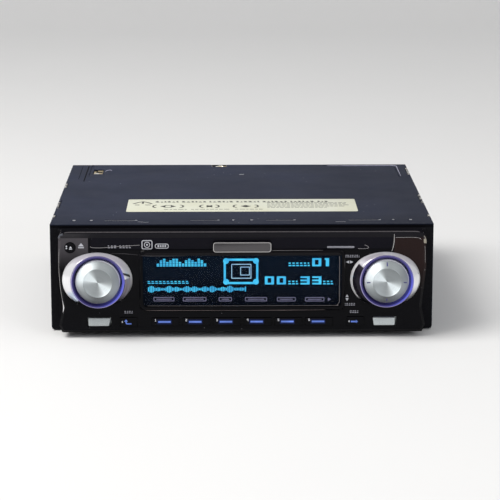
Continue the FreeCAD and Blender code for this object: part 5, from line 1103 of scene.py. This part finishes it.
def dress_printing(settings):
    """Bare pictograms and marks on the panel; no words."""
    marks = Solid(STRIP + 0.05, STRIP - 0.05)
    marks.holed(box_outline(-46.0, -41.0, 41.4, 45.7, 0.9), 0.42)
    marks.holed(circle_outline(-43.5, 43.55, 1.4, 28), 0.32)
    marks.disc(-43.5, 43.55, 0.45, 16)
    marks.holed(box_outline(-39.9, -33.6, 41.75, 44.05, 1.0), 0.34)
    for left, right in ((-38.7, -37.9), (-37.5, -36.9), (-36.5, -35.9), (-35.5, -34.8)):
        marks.box(left, right, 42.4, 43.4, 0.15, 3)
    marks.finish("strip_pictograms", "legend_white")

    plain = Solid(STRIP + 0.05, STRIP - 0.05)
    plain.box(38.8, 51.4, 41.75, 42.65, 0.42, 4, edge=0.04)
    for index, x in enumerate((-60.9, -59.5, -58.1, -55.6, -54.2, -52.8, -51.4)):
        plain.box(x - 0.5, x + 0.5, 42.0, 42.5, 0.15, 3)
        plain.box(x - 0.5, x + 0.1 + 0.2 * (index % 3), 42.8, 43.3, 0.15, 3)
    plain.finish("strip_bars", "legend_grey")

    signs = Solid(*LEGEND)
    for points in (((47.5, 35.3), (49.0, 34.6), (49.0, 36.0)),
                   ((50.9, 35.3), (49.4, 36.0), (49.4, 34.6)),
                   ((48.2, 20.1), (47.5, 18.85), (48.9, 18.85)),
                   ((48.2, 16.9), (48.9, 18.3), (47.5, 18.3))):
        signs.slab(points)
    signs.finish("knob_arrows", "legend_white")

    bars = Solid(*LEGEND)
    for left, right, low in ((46.0, 53.7, 37.5), (45.8, 52.0, 14.8), (-54.2, -50.4, 11.4),
                             (49.6, 53.4, 11.3)):
        for index, x, wide in row_of(left, right - 0.3, (0.75,), 0.3):
            end = min(right, x + wide)
            bars.box(x, end, low, low + 0.42, 0.1, 3)
            bars.box(x + 0.2 * (index % 2), end, low + 0.72, low + 1.14, 0.1, 3)
    bars.finish("legend_bars", "legend_grey")
    Solid(*LEGEND).slab([(-74.9, 43.0), (-72.3, 43.0), (-73.6, 44.5)]).box(
        -74.9, -72.3, 42.15, 42.6).finish("eject_mark", "legend_white")


# ---------------------------------------------------------------- knobs, bezels and rings

KNOBS = {"volume_knob": middle("volume_knob"), "cross_knob": middle("cross_knob")}
LEFT, RIGHT = KNOBS.values()
RING_LOW, RING_HIGH = span("light_rings")
RING_FRONT = RING_LOW.y - 0.8
RING_OUTSIDE = (RING_HIGH.z - RING_LOW.z) / 2 + 0.15
RING_INSIDE = RING_OUTSIDE - 1.15
WELL = RING_OUTSIDE + 0.15

# Half section of a bezel: how far out from the well, and how high towards the crest.
BEZEL = ((0.0, 0.0), (0.0, 0.93), (0.03, 0.985), (0.08, 1.0), (0.16, 0.97), (0.38, 0.78),
         (0.60, 0.56), (0.76, 0.40), (0.86, 0.29), (0.93, 0.20), (1.0, 0.07), (1.0, 0.0))
BEZEL_STEPS = 144
# Painted reflections drawn on the bezels' plating: the room, and a dark table below.
ROOM_REFLECTION, TABLE_REFLECTION = (0.66, 0.62, 0.72), (0.006, 0.006, 0.008)  # tones that the plating takes


def oval_reach(turn, half_x=16.1, half_z=12.85, end=11.9):
    """How far an oval of four arcs reaches from its middle, in one direction."""
    across = half_x - end
    drop = (across ** 2 - (half_z - end) ** 2) / (2 * (half_z - end))
    u, v = abs(math.cos(turn)), abs(math.sin(turn))
    if math.atan2(v, u) < math.atan2(end * drop / math.hypot(across, drop),
                                     across + end * across / math.hypot(across, drop)):
        b, radius, aside = across * u, end, across
    else:
        b, radius, aside = -drop * v, half_z + drop, drop
    return b + math.sqrt(b * b - aside * aside + radius * radius)


def plated_bezel(tree, tone, haze, rough=0.16, peel=0.06):
    """Ends a bezel's tree in bright plating that wears the painted reflections drawn on it."""
    return tree.surface(
        base_color=tone, metallic=0.4, roughness=rough + 0.05 * haze.ramp(0.4, 0.7),
        specular_ior_level=0.2, normal=tree.bump(tree.noise(260.0), peel, 0.0001))


def bezel_chrome(name, shade, centre):
    """Plating with painted reflections: the dark of a table from below, and of the room where it
    turns away.
    """
    tree = new_tree(name)
    radius, angle = tree.around(centre)
    haze = tree.noise(40.0, 3.0)
    tone = tree.mottled(shade, haze, 0.93)
    tone = tree.drawn(tone, ROOM_REFLECTION, angle, 84.0, 40.0, 30.0, 0.8)
    tone = tree.drawn(tone, (0.45, 0.56, 0.72), angle, 217.0, 10.0, 10.0, 0.7)
    lit = tree.sector(angle, 2.0, 8.0, 42.0) * (0.25 + 0.75 * radius.ramp(0.0118, 0.0145))
    turned = tree.mix(lit, (0.012, 0.011, 0.013), (0.42, 0.38, 0.43))
    tone = tree.drawn(tone, turned, angle, -30.0, 35.0, 2.0)
    tone = tree.drawn(tone, (0.010, 0.009, 0.012), angle, 19.5 - (radius - 0.0122) * 4200.0,
                      0.9, 2.8, 0.95)
    return plated_bezel(tree, tree.drawn(tone, TABLE_REFLECTION, angle, 270.0, 44.0, 5.0), haze)


def right_bezel_reflections(name, shade, centre):
    """The right bezel, with painted reflections: its left part takes a dark window between its rim
    and the ring.
    """
    tree = new_tree(name)
    angle = tree.around(centre)[1]
    haze = tree.noise(60.0, 3.0)
    tone = tree.drawn(shade, (0.66, 0.63, 0.72), angle, 100.0, 50.0, 30.0, 0.6)
    hazy = tree.sector(angle, 118.0, 14.0, 12.0) * (haze > 0.5) * 0.5
    tone = tree.mix(hazy, tone, (0.42, 0.38, 0.45))
    tone = tree.drawn(tone, (0.018, 0.014, 0.016), angle, -78.0, 20.0, 52.0)
    dark = tree.mix(haze.ramp(0.4, 0.65), (0.012, 0.010, 0.016), (0.060, 0.052, 0.068))
    tone = tree.drawn(tone, dark, angle, 186.0, 36.0, 3.0)
    return plated_bezel(tree, tree.drawn(tone, TABLE_REFLECTION, angle, 262.0, 44.0, 6.0), haze)


def rim_chrome(name, shade):
    """The outer rims of both bezels, with painted reflections: bright above, lost against the panel
    below.
    """
    tree = new_tree(name)
    x, y, z = tree.axes()
    beside = x > 0
    across = x - beside * (RIGHT.x * MM) - (1 - beside) * (LEFT.x * MM)
    angle = tree.math("ARCTAN2", z - LEFT.z * MM, across)
    haze = tree.noise(50.0, 3.0)
    tone = tree.mottled(shade, haze, 0.9)
    tone = tree.drawn(tone, (0.60, 0.58, 0.66), angle, 90.0, 40.0, 30.0, 0.6)
    tone = tree.drawn(tone, (0.014, 0.012, 0.014), angle, -66.0, 30.0, 48.0)
    return plated_bezel(tree, tree.drawn(tone, TABLE_REFLECTION, angle, 262.0, 44.0, 8.0), haze, 0.14, 0.05)


def dress_bezels(settings):
    """Both oval bezels in place of the plain ones, and two small dark dots."""
    back, crest = span("bezels")[1].y, RING_FRONT + 0.25
    chrome = settings.knobs.chrome
    bezels = Solid()
    for tone, centre in enumerate(KNOBS.values()):
        loops = []
        for out, rise in BEZEL:
            ring = []
            for step in range(BEZEL_STEPS):
                turn = 2 * math.pi * step / BEZEL_STEPS
                reach = WELL + (oval_reach(turn) - WELL) * out
                ring.append((centre.x + (reach * math.cos(turn) - 0.4 * out),
                             back + (crest - back) * rise, centre.z + reach * math.sin(turn)))
            loops.append(bezels.loop(ring))
        for index, (first, second) in enumerate(zip(loops, loops[1:] + loops[:1])):
            bezels.tone = 2 if 7 <= index <= 10 else tone
            bezels.band(first, second)
    piece = bezels.finish("bezel_rims", bezel_chrome("chrome_left", chrome, LEFT),
                          slot="bezel_chrome", replaces=("bezels",), sharp=50.0)
    piece.data.materials.append(right_bezel_reflections("chrome_right", chrome, RIGHT))
    piece.data.materials.append(rim_chrome("chrome_rims", chrome))

    Solid().disc(RIGHT.x + 14.3, RIGHT.z + 3.1, 0.42, 20, levels=(back, back - 1.9)).disc(
        LEFT.x + 0.4, RIGHT.z - 15.6, 0.2, 12, levels=(LEGEND[0], -93.8)).finish(
        "bezel_dots", "dot_black", slot="black_moulding")


def dress_rings(settings):
    """Both light guides with rounded fronts, in place of the plain rings."""
    inside, outside, front, back = RING_INSIDE, RING_OUTSIDE, RING_FRONT, RING_HIGH.y
    rings = Solid()
    for centre in KNOBS.values():
        rings.turned([
            (inside, back), (inside, front + 0.7), (inside + 0.12, front + 0.35),
            (inside + 0.4, front + 0.06), (outside - 0.4, front), (outside - 0.1, front + 0.2),
            (outside, front + 0.6), (outside, back), (inside, back)], (centre.x, centre.z), 128)
    left, right = (
        lit_ring(name, settings.knobs.glow, settings.knobs.glow_level, centre,
                 inside * MM, outside * MM)
        for name, centre in (("ring_glow_left", LEFT), ("ring_glow_right", RIGHT)))
    piece = rings.joined().finish("glow_rings", left, slot="light_guide", replaces=("light_rings",))
    piece.data.materials.append(right)
    for face in piece.data.polygons:
        face.material_index = 1 if face.center.x > 0 else 0


def cap_profile(settings, front, back, radius):
    """Half section of a knob cap: skirt, polished rim, sloping land, dished inner disc."""
    disc, drop, rim = (size / MM for size in (settings.disc, settings.land_drop, settings.rim_wide))
    slope = drop / (radius - disc)
    shoulder = front + drop
    return [
        (0, back), (radius - 0.4, back), (radius - 0.1, back - 0.2), (radius, back - 0.6),
        (radius, shoulder + 0.35), (radius - 0.08, shoulder + 0.12),
        (radius - rim * 0.6, shoulder - 0.12), (radius - rim, shoulder - rim * slope),
        (disc + 0.4, front + 0.4 * slope), (disc + 0.12, front + 0.06), (disc, front + 0.02),
        (disc - 0.06, front + 0.14), (disc - 0.12, front + 0.45), (disc - 0.3, front + 0.6),
        (disc * 0.72, front + 1.15), (disc * 0.4, front + 1.65), (disc * 0.15, front + 1.9),
        (0, front + 1.95)]


def dress_caps(settings):
    """Both turned caps, and the four marks on the right one's land."""
    knobs = settings.knobs
    for node, name, body in (("volume_knob", "volume_cap", "volume"),
                             ("cross_knob", "four_way_cap", "four_way")):
        low, high = span(node)
        centre, radius = KNOBS[node], (high.z - low.z) / 2
        metal = turned_metal("turned_" + name, knobs.metal, centre, knobs.disc - 0.00005,
                             radius * MM - knobs.rim_wide)
        Solid().turned(cap_profile(knobs, low.y, high.y, radius), (centre.x, centre.z), 144).finish(
            name, metal, body, "knob_metal", (node,), 28.0)

    front, hub = span("cross_knob")[0].y, Vector((RIGHT.x, RIGHT.z))
    marks = Solid()
    for turn in (0, 90, 180, 270):
        way = Vector((math.cos(math.radians(turn)), math.sin(math.radians(turn))))
        fall = Vector((0.0, 0.45 if turn in (0, 180) else 0.0))
        marks.lay_on(hub + way * 7.6, hub + way * 9.1 - fall, 0.5, front + 0.75, front + 2.02)
    marks.finish("cap_marks", "cap_mark_blue", "four_way", "light_guide")


# ---------------------------------------------------------------- keys

SILVER_FOOT = 5.5  # foot of the silver keys

# Dots of the small figures 1 to 6: columns by rows, from the upper left.
FIGURES = (
    ("010", "110", "010", "010", "111"), ("111", "001", "111", "100", "111"),
    ("111", "001", "111", "001", "111"), ("101", "101", "111", "001", "001"),
    ("111", "100", "111", "001", "111"), ("111", "100", "111", "101", "111"),
)


def draw_figure(solid, rows, left, top, dot):
    """A small figure out of square dots, joined along each row."""
    for row, cells in enumerate(rows):
        start = None
        for column, cell in enumerate(cells + "0"):
            if cell == "1" and start is None:
                start = column
            if cell == "0" and start is not None:
                solid.box(left + start * dot, left + column * dot,
                          top - (row + 1) * dot + 0.01, top - row * dot)
                start = None


def leaning(outline, centre, side, top):
    """A key's outline whose inner side leans over by half a millimetre from head to foot."""
    return [(x + side * 0.55 * (top - z) / (top - SILVER_FOOT) * (x * side < centre * side), z)
            for x, z in outline]


def dress_keys(settings):
    """Silver caps, light bars with figures, the lit arrows, dots and the open key's icon."""
    keys = settings.keys
    # The right silver key wears the same lacquer 1.18 times brighter: painted light.
    silver = silver_lacquer("silver_key_painted_light", scaled(keys.silver, 1.18))
    for node, side, left, right, top, finish in (
            ("silver_key_left", -1, -70.8, -60.75, 9.25, "silver_key"),
            ("silver_key_right", 1, 60.05, 70.25, 9.1, silver)):
        low, high = span(node)
        cap = Solid(high.y, high.y - 0.8).box(
            low.x + 0.1, high.x - 0.1, low.z + 0.1, high.z - 0.1, 0.4, 3)
        cap.slab(leaning(box_outline(left, right, SILVER_FOOT, top, 0.45, 4),
                         (left + right) / 2, side, top), 0.3, (high.y - 0.6, low.y))
        cap.finish(node + "_cap", finish, node, "silver_key", (node,))

    z = middle("soft_key_1").z + 0.52
    half, tall = keys.bar_wide / MM / 2, keys.bar_tall / MM / 2
    light = lit_mark("key_light", keys.light, keys.light_level, 1.25, (z, tall))
    arrow_light = lit_mark("arrow_light", scaled(keys.light, 0.8), keys.light_level)
    for number, (key, rows) in enumerate(zip(SOFT_KEYS, FIGURES), 1):
        low, high = span(key)
        x, front = (low.x + high.x) / 2 - 0.45, low.y
        bar = Solid().box(x - half + 0.06, x + half - 0.06, z - tall + 0.06, z + tall - 0.06,
                          0.16, 3, edge=0.1, levels=(front + 0.29, front - 0.03))
        bar.tone = 1
        bar.box(x - half - 0.5, x + half + 0.35, z - tall - 0.6, z + tall + 0.55, 0.5, 4,
                levels=(front + 0.2, front - 0.012))
        piece = bar.finish("light_bar_%d" % number, light, key, "light_guide")
        piece.data.materials.append(look("key_light_spill"))
        digit = Solid(front + 0.05, front - 0.04)
        draw_figure(digit, rows, x - half - 1.45, z + 1.35, 0.22)
        digit.finish("key_figure_%d" % number, "figure_white", key)

    z -= 0.1
    levels = (span("back_key")[0].y + 0.05, span("back_key")[0].y - 0.05)
    x = middle("back_key").x - 0.3
    Solid(*levels).slab([(x - 1.9, z + 0.35), (x - 0.95, z + 1.3), (x - 0.1, z + 0.35)]).stroke(
        smooth_path([(x - 0.98, z + 0.45), (x - 0.9, z - 0.4), (x - 0.45, z - 0.75),
                     (x + 1.5, z - 0.75)], 4), 0.55).finish(
        "back_arrow", arrow_light, "back_key", "light_guide")
    x = middle("next_key").x - 0.5
    Solid(*levels).slab([
        (x - 1.7, z - 0.36), (x + 0.65, z - 0.36), (x + 0.65, z - 0.75), (x + 1.6, z),
        (x + 0.65, z + 0.75), (x + 0.65, z + 0.36), (x - 1.7, z + 0.36)]).finish(
        "next_arrow", arrow_light, "next_key", "light_guide")
    for key in ("back_key", "next_key"):
        x = middle(key).x - 3.0
        Solid(*levels).box(x - 0.22, x + 0.22, z - 0.3, z + 0.55, 0.12, 3).finish(
            key + "_dot", "figure_white", key)

    front, x, z = span("open_key")[0].y, middle("open_key").x - 0.35, middle("open_key").z
    icon = Solid(front + 0.05, front - 0.05)
    icon.slab([(x - 0.1, z - 0.2), (x + 1.3, z - 0.2), (x + 0.6, z + 0.75)])
    icon.box(x - 0.1, x + 1.3, z - 0.75, z - 0.45)
    for rise in (0.75, -0.2):
        icon.disc(x - 1.3, z + rise, 0.36, 14)
    icon.finish("open_icon", "figure_white", "open_key")


# ---------------------------------------------------------------- the display

def block_figure(solid, shape, left, low, wide=4.2, tall=3.8):
    """A blocky figure of the display: 0, 1 or 3, broader than it is tall."""
    bar, side = tall * 0.2, wide * 0.3
    right, top = left + wide, low + tall
    if shape == "0":
        solid.holed(box_outline(left, right, low, top, 0.25, 2),
                    box_outline(left + side, right - side, low + bar, top - bar, 0.2, 2))
    elif shape == "1":
        foot, head = left + wide * 0.42, left + wide * 0.3
        solid.slab([(foot, low), (left + wide * 0.78, low), (left + wide * 0.78, top), (head, top),
                    (head, top - bar), (foot, top - bar)])
    else:
        step, inner = (tall - 3 * bar) / 2, right - side
        solid.slab([
            (left, low), (right, low), (right, top), (left, top), (left, top - bar),
            (inner, top - bar), (inner, top - bar - step), (left, top - bar - step),
            (left, low + bar + step), (inner, low + bar + step), (inner, low + bar),
            (left, low + bar)])


def dress_display(settings):
    """The display's ground and lens, and what is lit between them."""
    wear("display_cell")
    low, high = span("display_lens")
    ground = high.y
    Solid(ground - 0.9, low.y).box(low.x, high.x, low.z, high.z, 2.3, 8, edge=0.35).finish(
        "display_glass", "display_glass", slot="smoked_lens", replaces=("display_lens",))
    path = smooth_path([
        (44.5, 38.2), (44.6, 34.0), (44.6, 19.0), (44.45, 16.6), (43.6, 15.45), (42.0, 15.1),
        (20.0, 15.05), (-20.0, 15.05), (-43.5, 15.15)], 5)
    Solid(low.y - 0.03).line(path, [0.17 if point.x > 42 else 0.12 for point in path]).finish(
        "display_border", "border_grey")

    def shown(solid, name, finish="segment_light"):
        """Ends a lit piece of the display."""
        solid.finish(name, finish, slot="display_cell")

    levels = back, face = ground - 0.005, ground - 0.12
    meter = Solid(*levels)
    for column, tall in enumerate((2, 4, 5, 3, 4, 5, 5, 3, 2, 4, 5, 4, 3, 5, 4, 2)):
        left = -39.2 + column * 1.44
        for row in range(tall):
            z = 33.1 + row * 0.76
            meter.box(left, left + 1.12, z, z + 0.56)
    shown(meter, "level_meter")

    disc_mark = Solid(*levels)
    disc_mark.holed(box_outline(-8.5, 7.4, 24.7, 36.7, 1.8), 1.0)
    for u, v in ((-7.4, 25.8), (6.3, 25.8), (-7.4, 35.6), (6.3, 35.6)):
        disc_mark.disc(u, v, 1.35, 20, levels=(back, face - 0.03))
    shown(disc_mark, "disc_mark_frame")
    inner = Solid(*levels).holed(box_outline(-5.0, 4.2, 27.3, 34.2, 0.3, 3), 0.36)
    inner.holed(box_outline(-0.9, 3.5, 28.8, 32.9, 0.3, 3), 0.36)
    shown(inner, "disc_mark_lines",
          lit_mark("segment_pale", (0.36, 0.62, 0.98), settings.display.level * 0.85))

    digits = Solid(*levels)
    for shape, left, base in (("0", 32.1, 33.0), ("1", 36.6, 33.0), ("0", 10.4, 24.5),
                              ("0", 15.9, 24.5), ("3", 26.8, 24.45), ("3", 32.2, 24.45)):
        block_figure(digits, shape, left, base)
    shown(digits, "display_figures")

    small = Solid(*levels)
    for left, right, base, tall in ((21.3, 31.0, 33.1, 1.7), (21.2, 25.7, 24.5, 1.7),
                                    (37.2, 41.8, 24.45, 1.7), (-43.4, -24.4, 25.0, 1.25)):
        for _, x, wide in row_of(left, right - 0.6, (1.3,), 0.45):
            end = min(right, x + wide)
            small.box(x, end, base, base + tall * 0.34)
            small.box(x, end - 0.3, base + tall * 0.66, base + tall)
    shown(small, "display_dashes")

    wave, axis = Solid(*levels), 22.35
    for column in range(62):
        x = -43.3 + column * 0.73
        beat = math.sin(column * 0.83) * 0.5 + math.sin(column * 0.31 + 1.1) * 0.5
        reach = 0.45 + 1.15 * abs(beat)
        wave.box(x, x + 0.5, axis - reach, axis + reach, 0.12, 2)
    shown(wave, "display_wave")

    legends = Solid(*levels)
    for left, right, base in ((-40.8, -31.2, 16.7), (-27.3, -16.5, 16.65), (-10.8, -4.8, 16.6),
                              (1.3, 11.4, 16.55), (16.0, 24.6, 16.5), (29.0, 37.8, 16.45)):
        legends.holed(box_outline(left, right, base, base + 1.95, 0.4, 3), 0.3)
        legends.box(left + 1.3, right - 1.3, base + 0.8, base + 1.15)
    legends.slab([(39.5, 16.6), (40.9, 17.4), (39.5, 18.2)])
    shown(legends, "display_legends", "segment_dim")


# ---------------------------------------------------------------- the stage

FLOOR_LEVEL, FLOOR_START, FLOOR_FLAT, FLOOR_BEND = -0.3, -1900.0, 1150.0, 600.0
FLOOR_TOP, FLOOR_HALF = 2200.0, 2400.0
CAMERA_PLACE = (-0.0084, -1.0354, 0.2483)
CAMERA_YAW, CAMERA_PITCH, CAMERA_ROLL = 0.728, 12.41, -0.01  # degrees: right, down, over


def add_lamp(name, place, target, size, power, tint):
    """A rectangular lamp that faces its target."""
    data = bpy.data.lights.new(name, "AREA")
    data.shape = "RECTANGLE"
    data.size, data.size_y = size
    data.energy, data.color = power, tint
    item = bpy.data.objects.new(name, data)
    item.location = place
    way = Vector(target) - Vector(place)
    item.rotation_euler = way.to_track_quat("-Z", "Y").to_euler()
    bpy.context.scene.collection.objects.link(item)


def dress_stage(settings):
    """Pale floor and backdrop, soft lamps and the camera."""
    scene, stage = bpy.context.scene, settings.stage
    turns = [math.radians(angle) for angle in range(10, 91, 10)]
    profile = [
        (FLOOR_START, FLOOR_LEVEL), (FLOOR_FLAT, FLOOR_LEVEL),
        *((FLOOR_FLAT + FLOOR_BEND * math.sin(turn),
           FLOOR_BEND - FLOOR_BEND * math.cos(turn) + FLOOR_LEVEL) for turn in turns),
        (FLOOR_FLAT + FLOOR_BEND, FLOOR_TOP)]
    floor = Solid()
    rows = [floor.loop([(x, y, z) for x in (-FLOOR_HALF, FLOOR_HALF)]) for y, z in profile]
    for first, second in zip(rows, rows[1:]):
        floor.cap((*first, *second[::-1]))
    tree = new_tree("stage_floor")
    tone = tree.mix(tree.noise(9.0), scaled(stage.floor, 0.985), stage.floor)
    floor.to_object("stage_floor", tree.surface(
        base_color=tone, roughness=0.85, specular_ior_level=0.2))

    scene.world = bpy.data.worlds.new("studio")
    sky = Tree(scene.world)
    up = sky.axes(sky.node("ShaderNodeTexCoord"))[2]
    glow = sky.mix(up.ramp(-0.1, 0.9), (0.62, 0.62, 0.64), (1.0, 1.0, 1.0))
    shader = sky.node("ShaderNodeBackground", values={"Color": glow, "Strength": stage.sky})
    sky.node("ShaderNodeOutputWorld", values={"Surface": shader})

    add_lamp("key_lamp", (-0.75, -0.35, 1.15), (0, 0, 0.02), (0.9, 0.9), stage.key_light,
             (1.0, 0.985, 0.96))
    add_lamp("fill_lamp", (0.9, -1.1, 0.55), (0, -0.05, 0.02), (0.7, 0.5), stage.fill_light,
             (0.95, 0.97, 1.0))

    yaw, pitch, roll = (math.radians(turn) for turn in (CAMERA_YAW, CAMERA_PITCH, CAMERA_ROLL))
    ahead = Vector((math.sin(yaw) * math.cos(pitch), math.cos(yaw) * math.cos(pitch),
                    -math.sin(pitch)))
    level = Vector((math.cos(yaw), -math.sin(yaw), 0.0))
    upright = level.cross(ahead)
    right = level * math.cos(roll) + upright * math.sin(roll)
    above = upright * math.cos(roll) - level * math.sin(roll)
    data = bpy.data.cameras.new("camera")
    data.sensor_width, data.lens = 36.0, stage.lens
    data.clip_start, data.clip_end = 0.05, 10.0
    camera = bpy.data.objects.new("camera", data)
    camera.matrix_world = (Matrix.Translation(CAMERA_PLACE)
                           @ Matrix((right, above, -ahead)).transposed().to_4x4())
    scene.collection.objects.link(camera)
    scene.camera = camera
    scene.view_settings.view_transform = "Standard"


# ---------------------------------------------------------------- operators and panel

def dress_works(settings):
    """What lies inside the case and at its rear."""
    wear("bare_steel", "spring_brass", "board_green", "chip_black", "iron_core", "sink_alloy",
         "socket_plastic", "fuse_plastic", "damper_rubber", "gear_plastic", "guide_plastic",
         "motor_steel")


def run(work, context):
    """Does the work of one operator."""
    work(context.scene.head_unit)
    return {"FINISHED"}


class HEADUNIT_OT_works(bpy.types.Operator):
    """Gives the drive, the disc mechanism and the rear their finishes"""
    bl_idname = "head_unit.works"
    bl_label = "Inner works and rear"

    def execute(self, context):
        return run(dress_works, context)


class HEADUNIT_OT_case(bpy.types.Operator):
    """Paints the case and adds the cover's dimples and bead, painted shade along its ribs and in
    its hollows, and painted glints and highlights
    """
    bl_idname = "head_unit.case"
    bl_label = "Case and cover"

    def execute(self, context):
        return run(dress_case, context)


class HEADUNIT_OT_label(bpy.types.Operator):
    """Sticks the bare paper label on the cover"""
    bl_idname = "head_unit.label"
    bl_label = "Cover label"

    def execute(self, context):
        return run(dress_label, context)


class HEADUNIT_OT_panel(bpy.types.Operator):
    """Finishes the moving panel with its silver lines, painted highlights and bare badge plate"""
    bl_idname = "head_unit.panel"
    bl_label = "Moving panel and trim"

    def execute(self, context):
        return run(dress_panel, context)


class HEADUNIT_OT_printing(bpy.types.Operator):
    """Prints the pictograms and marks on the panel"""
    bl_idname = "head_unit.printing"
    bl_label = "Printed marks"

    def execute(self, context):
        return run(dress_printing, context)


class HEADUNIT_OT_bezels(bpy.types.Operator):
    """Makes the two chrome oval bezels"""
    bl_idname = "head_unit.bezels"
    bl_label = "Bezels"

    def execute(self, context):
        return run(dress_bezels, context)


class HEADUNIT_OT_rings(bpy.types.Operator):
    """Makes the two lit rings round the knobs"""
    bl_idname = "head_unit.rings"
    bl_label = "Lit rings"

    def execute(self, context):
        return run(dress_rings, context)


class HEADUNIT_OT_caps(bpy.types.Operator):
    """Makes the turned caps of the volume and four-way knobs"""
    bl_idname = "head_unit.caps"
    bl_label = "Knob caps"

    def execute(self, context):
        return run(dress_caps, context)


class HEADUNIT_OT_keys(bpy.types.Operator):
    """Gives the keys their caps, light bars, arrows and figures"""
    bl_idname = "head_unit.keys"
    bl_label = "Keys"

    def execute(self, context):
        return run(dress_keys, context)


class HEADUNIT_OT_display(bpy.types.Operator):
    """Makes the display's glass and its lit segments"""
    bl_idname = "head_unit.display"
    bl_label = "Display"

    def execute(self, context):
        return run(dress_display, context)


class HEADUNIT_OT_stage(bpy.types.Operator):
    """Sets the floor, the lamps and the camera"""
    bl_idname = "head_unit.stage"
    bl_label = "Stage"

    def execute(self, context):
        return run(dress_stage, context)


OPERATORS = (
    HEADUNIT_OT_works, HEADUNIT_OT_case, HEADUNIT_OT_label, HEADUNIT_OT_panel,
    HEADUNIT_OT_printing, HEADUNIT_OT_bezels, HEADUNIT_OT_rings, HEADUNIT_OT_caps,
    HEADUNIT_OT_keys, HEADUNIT_OT_display, HEADUNIT_OT_stage,
)


class HEADUNIT_PT_sidebar(bpy.types.Panel):
    bl_label = "Head unit"
    bl_idname = "HEADUNIT_PT_sidebar"
    bl_space_type = "VIEW_3D"
    bl_region_type = "UI"
    bl_category = "Head unit"

    def draw(self, context):
        settings = context.scene.head_unit
        for title in ("case", "panel", "knobs", "keys", "display", "stage"):
            box, group = self.layout.box(), getattr(settings, title)
            box.label(text=title.capitalize())
            for item in group.bl_rna.properties:
                if item.identifier not in ("rna_type", "name"):
                    box.prop(group, item.identifier)
        for operator in OPERATORS:
            self.layout.operator(operator.bl_idname)


CLASSES = (
    CaseSettings, PanelSettings, KnobSettings, KeySettings, DisplaySettings, StageSettings,
    HeadUnitSettings, *OPERATORS, HEADUNIT_PT_sidebar,
)


def register():
    for item in CLASSES:
        bpy.utils.register_class(item)
    bpy.types.Scene.head_unit = bpy.props.PointerProperty(type=HeadUnitSettings)


def unregister():
    del bpy.types.Scene.head_unit
    for item in reversed(CLASSES):
        bpy.utils.unregister_class(item)


def main():
    register()
    for operator in OPERATORS:
        getattr(bpy.ops.head_unit, operator.bl_idname.split(".")[1])()


if __name__ == "__main__":
    main()
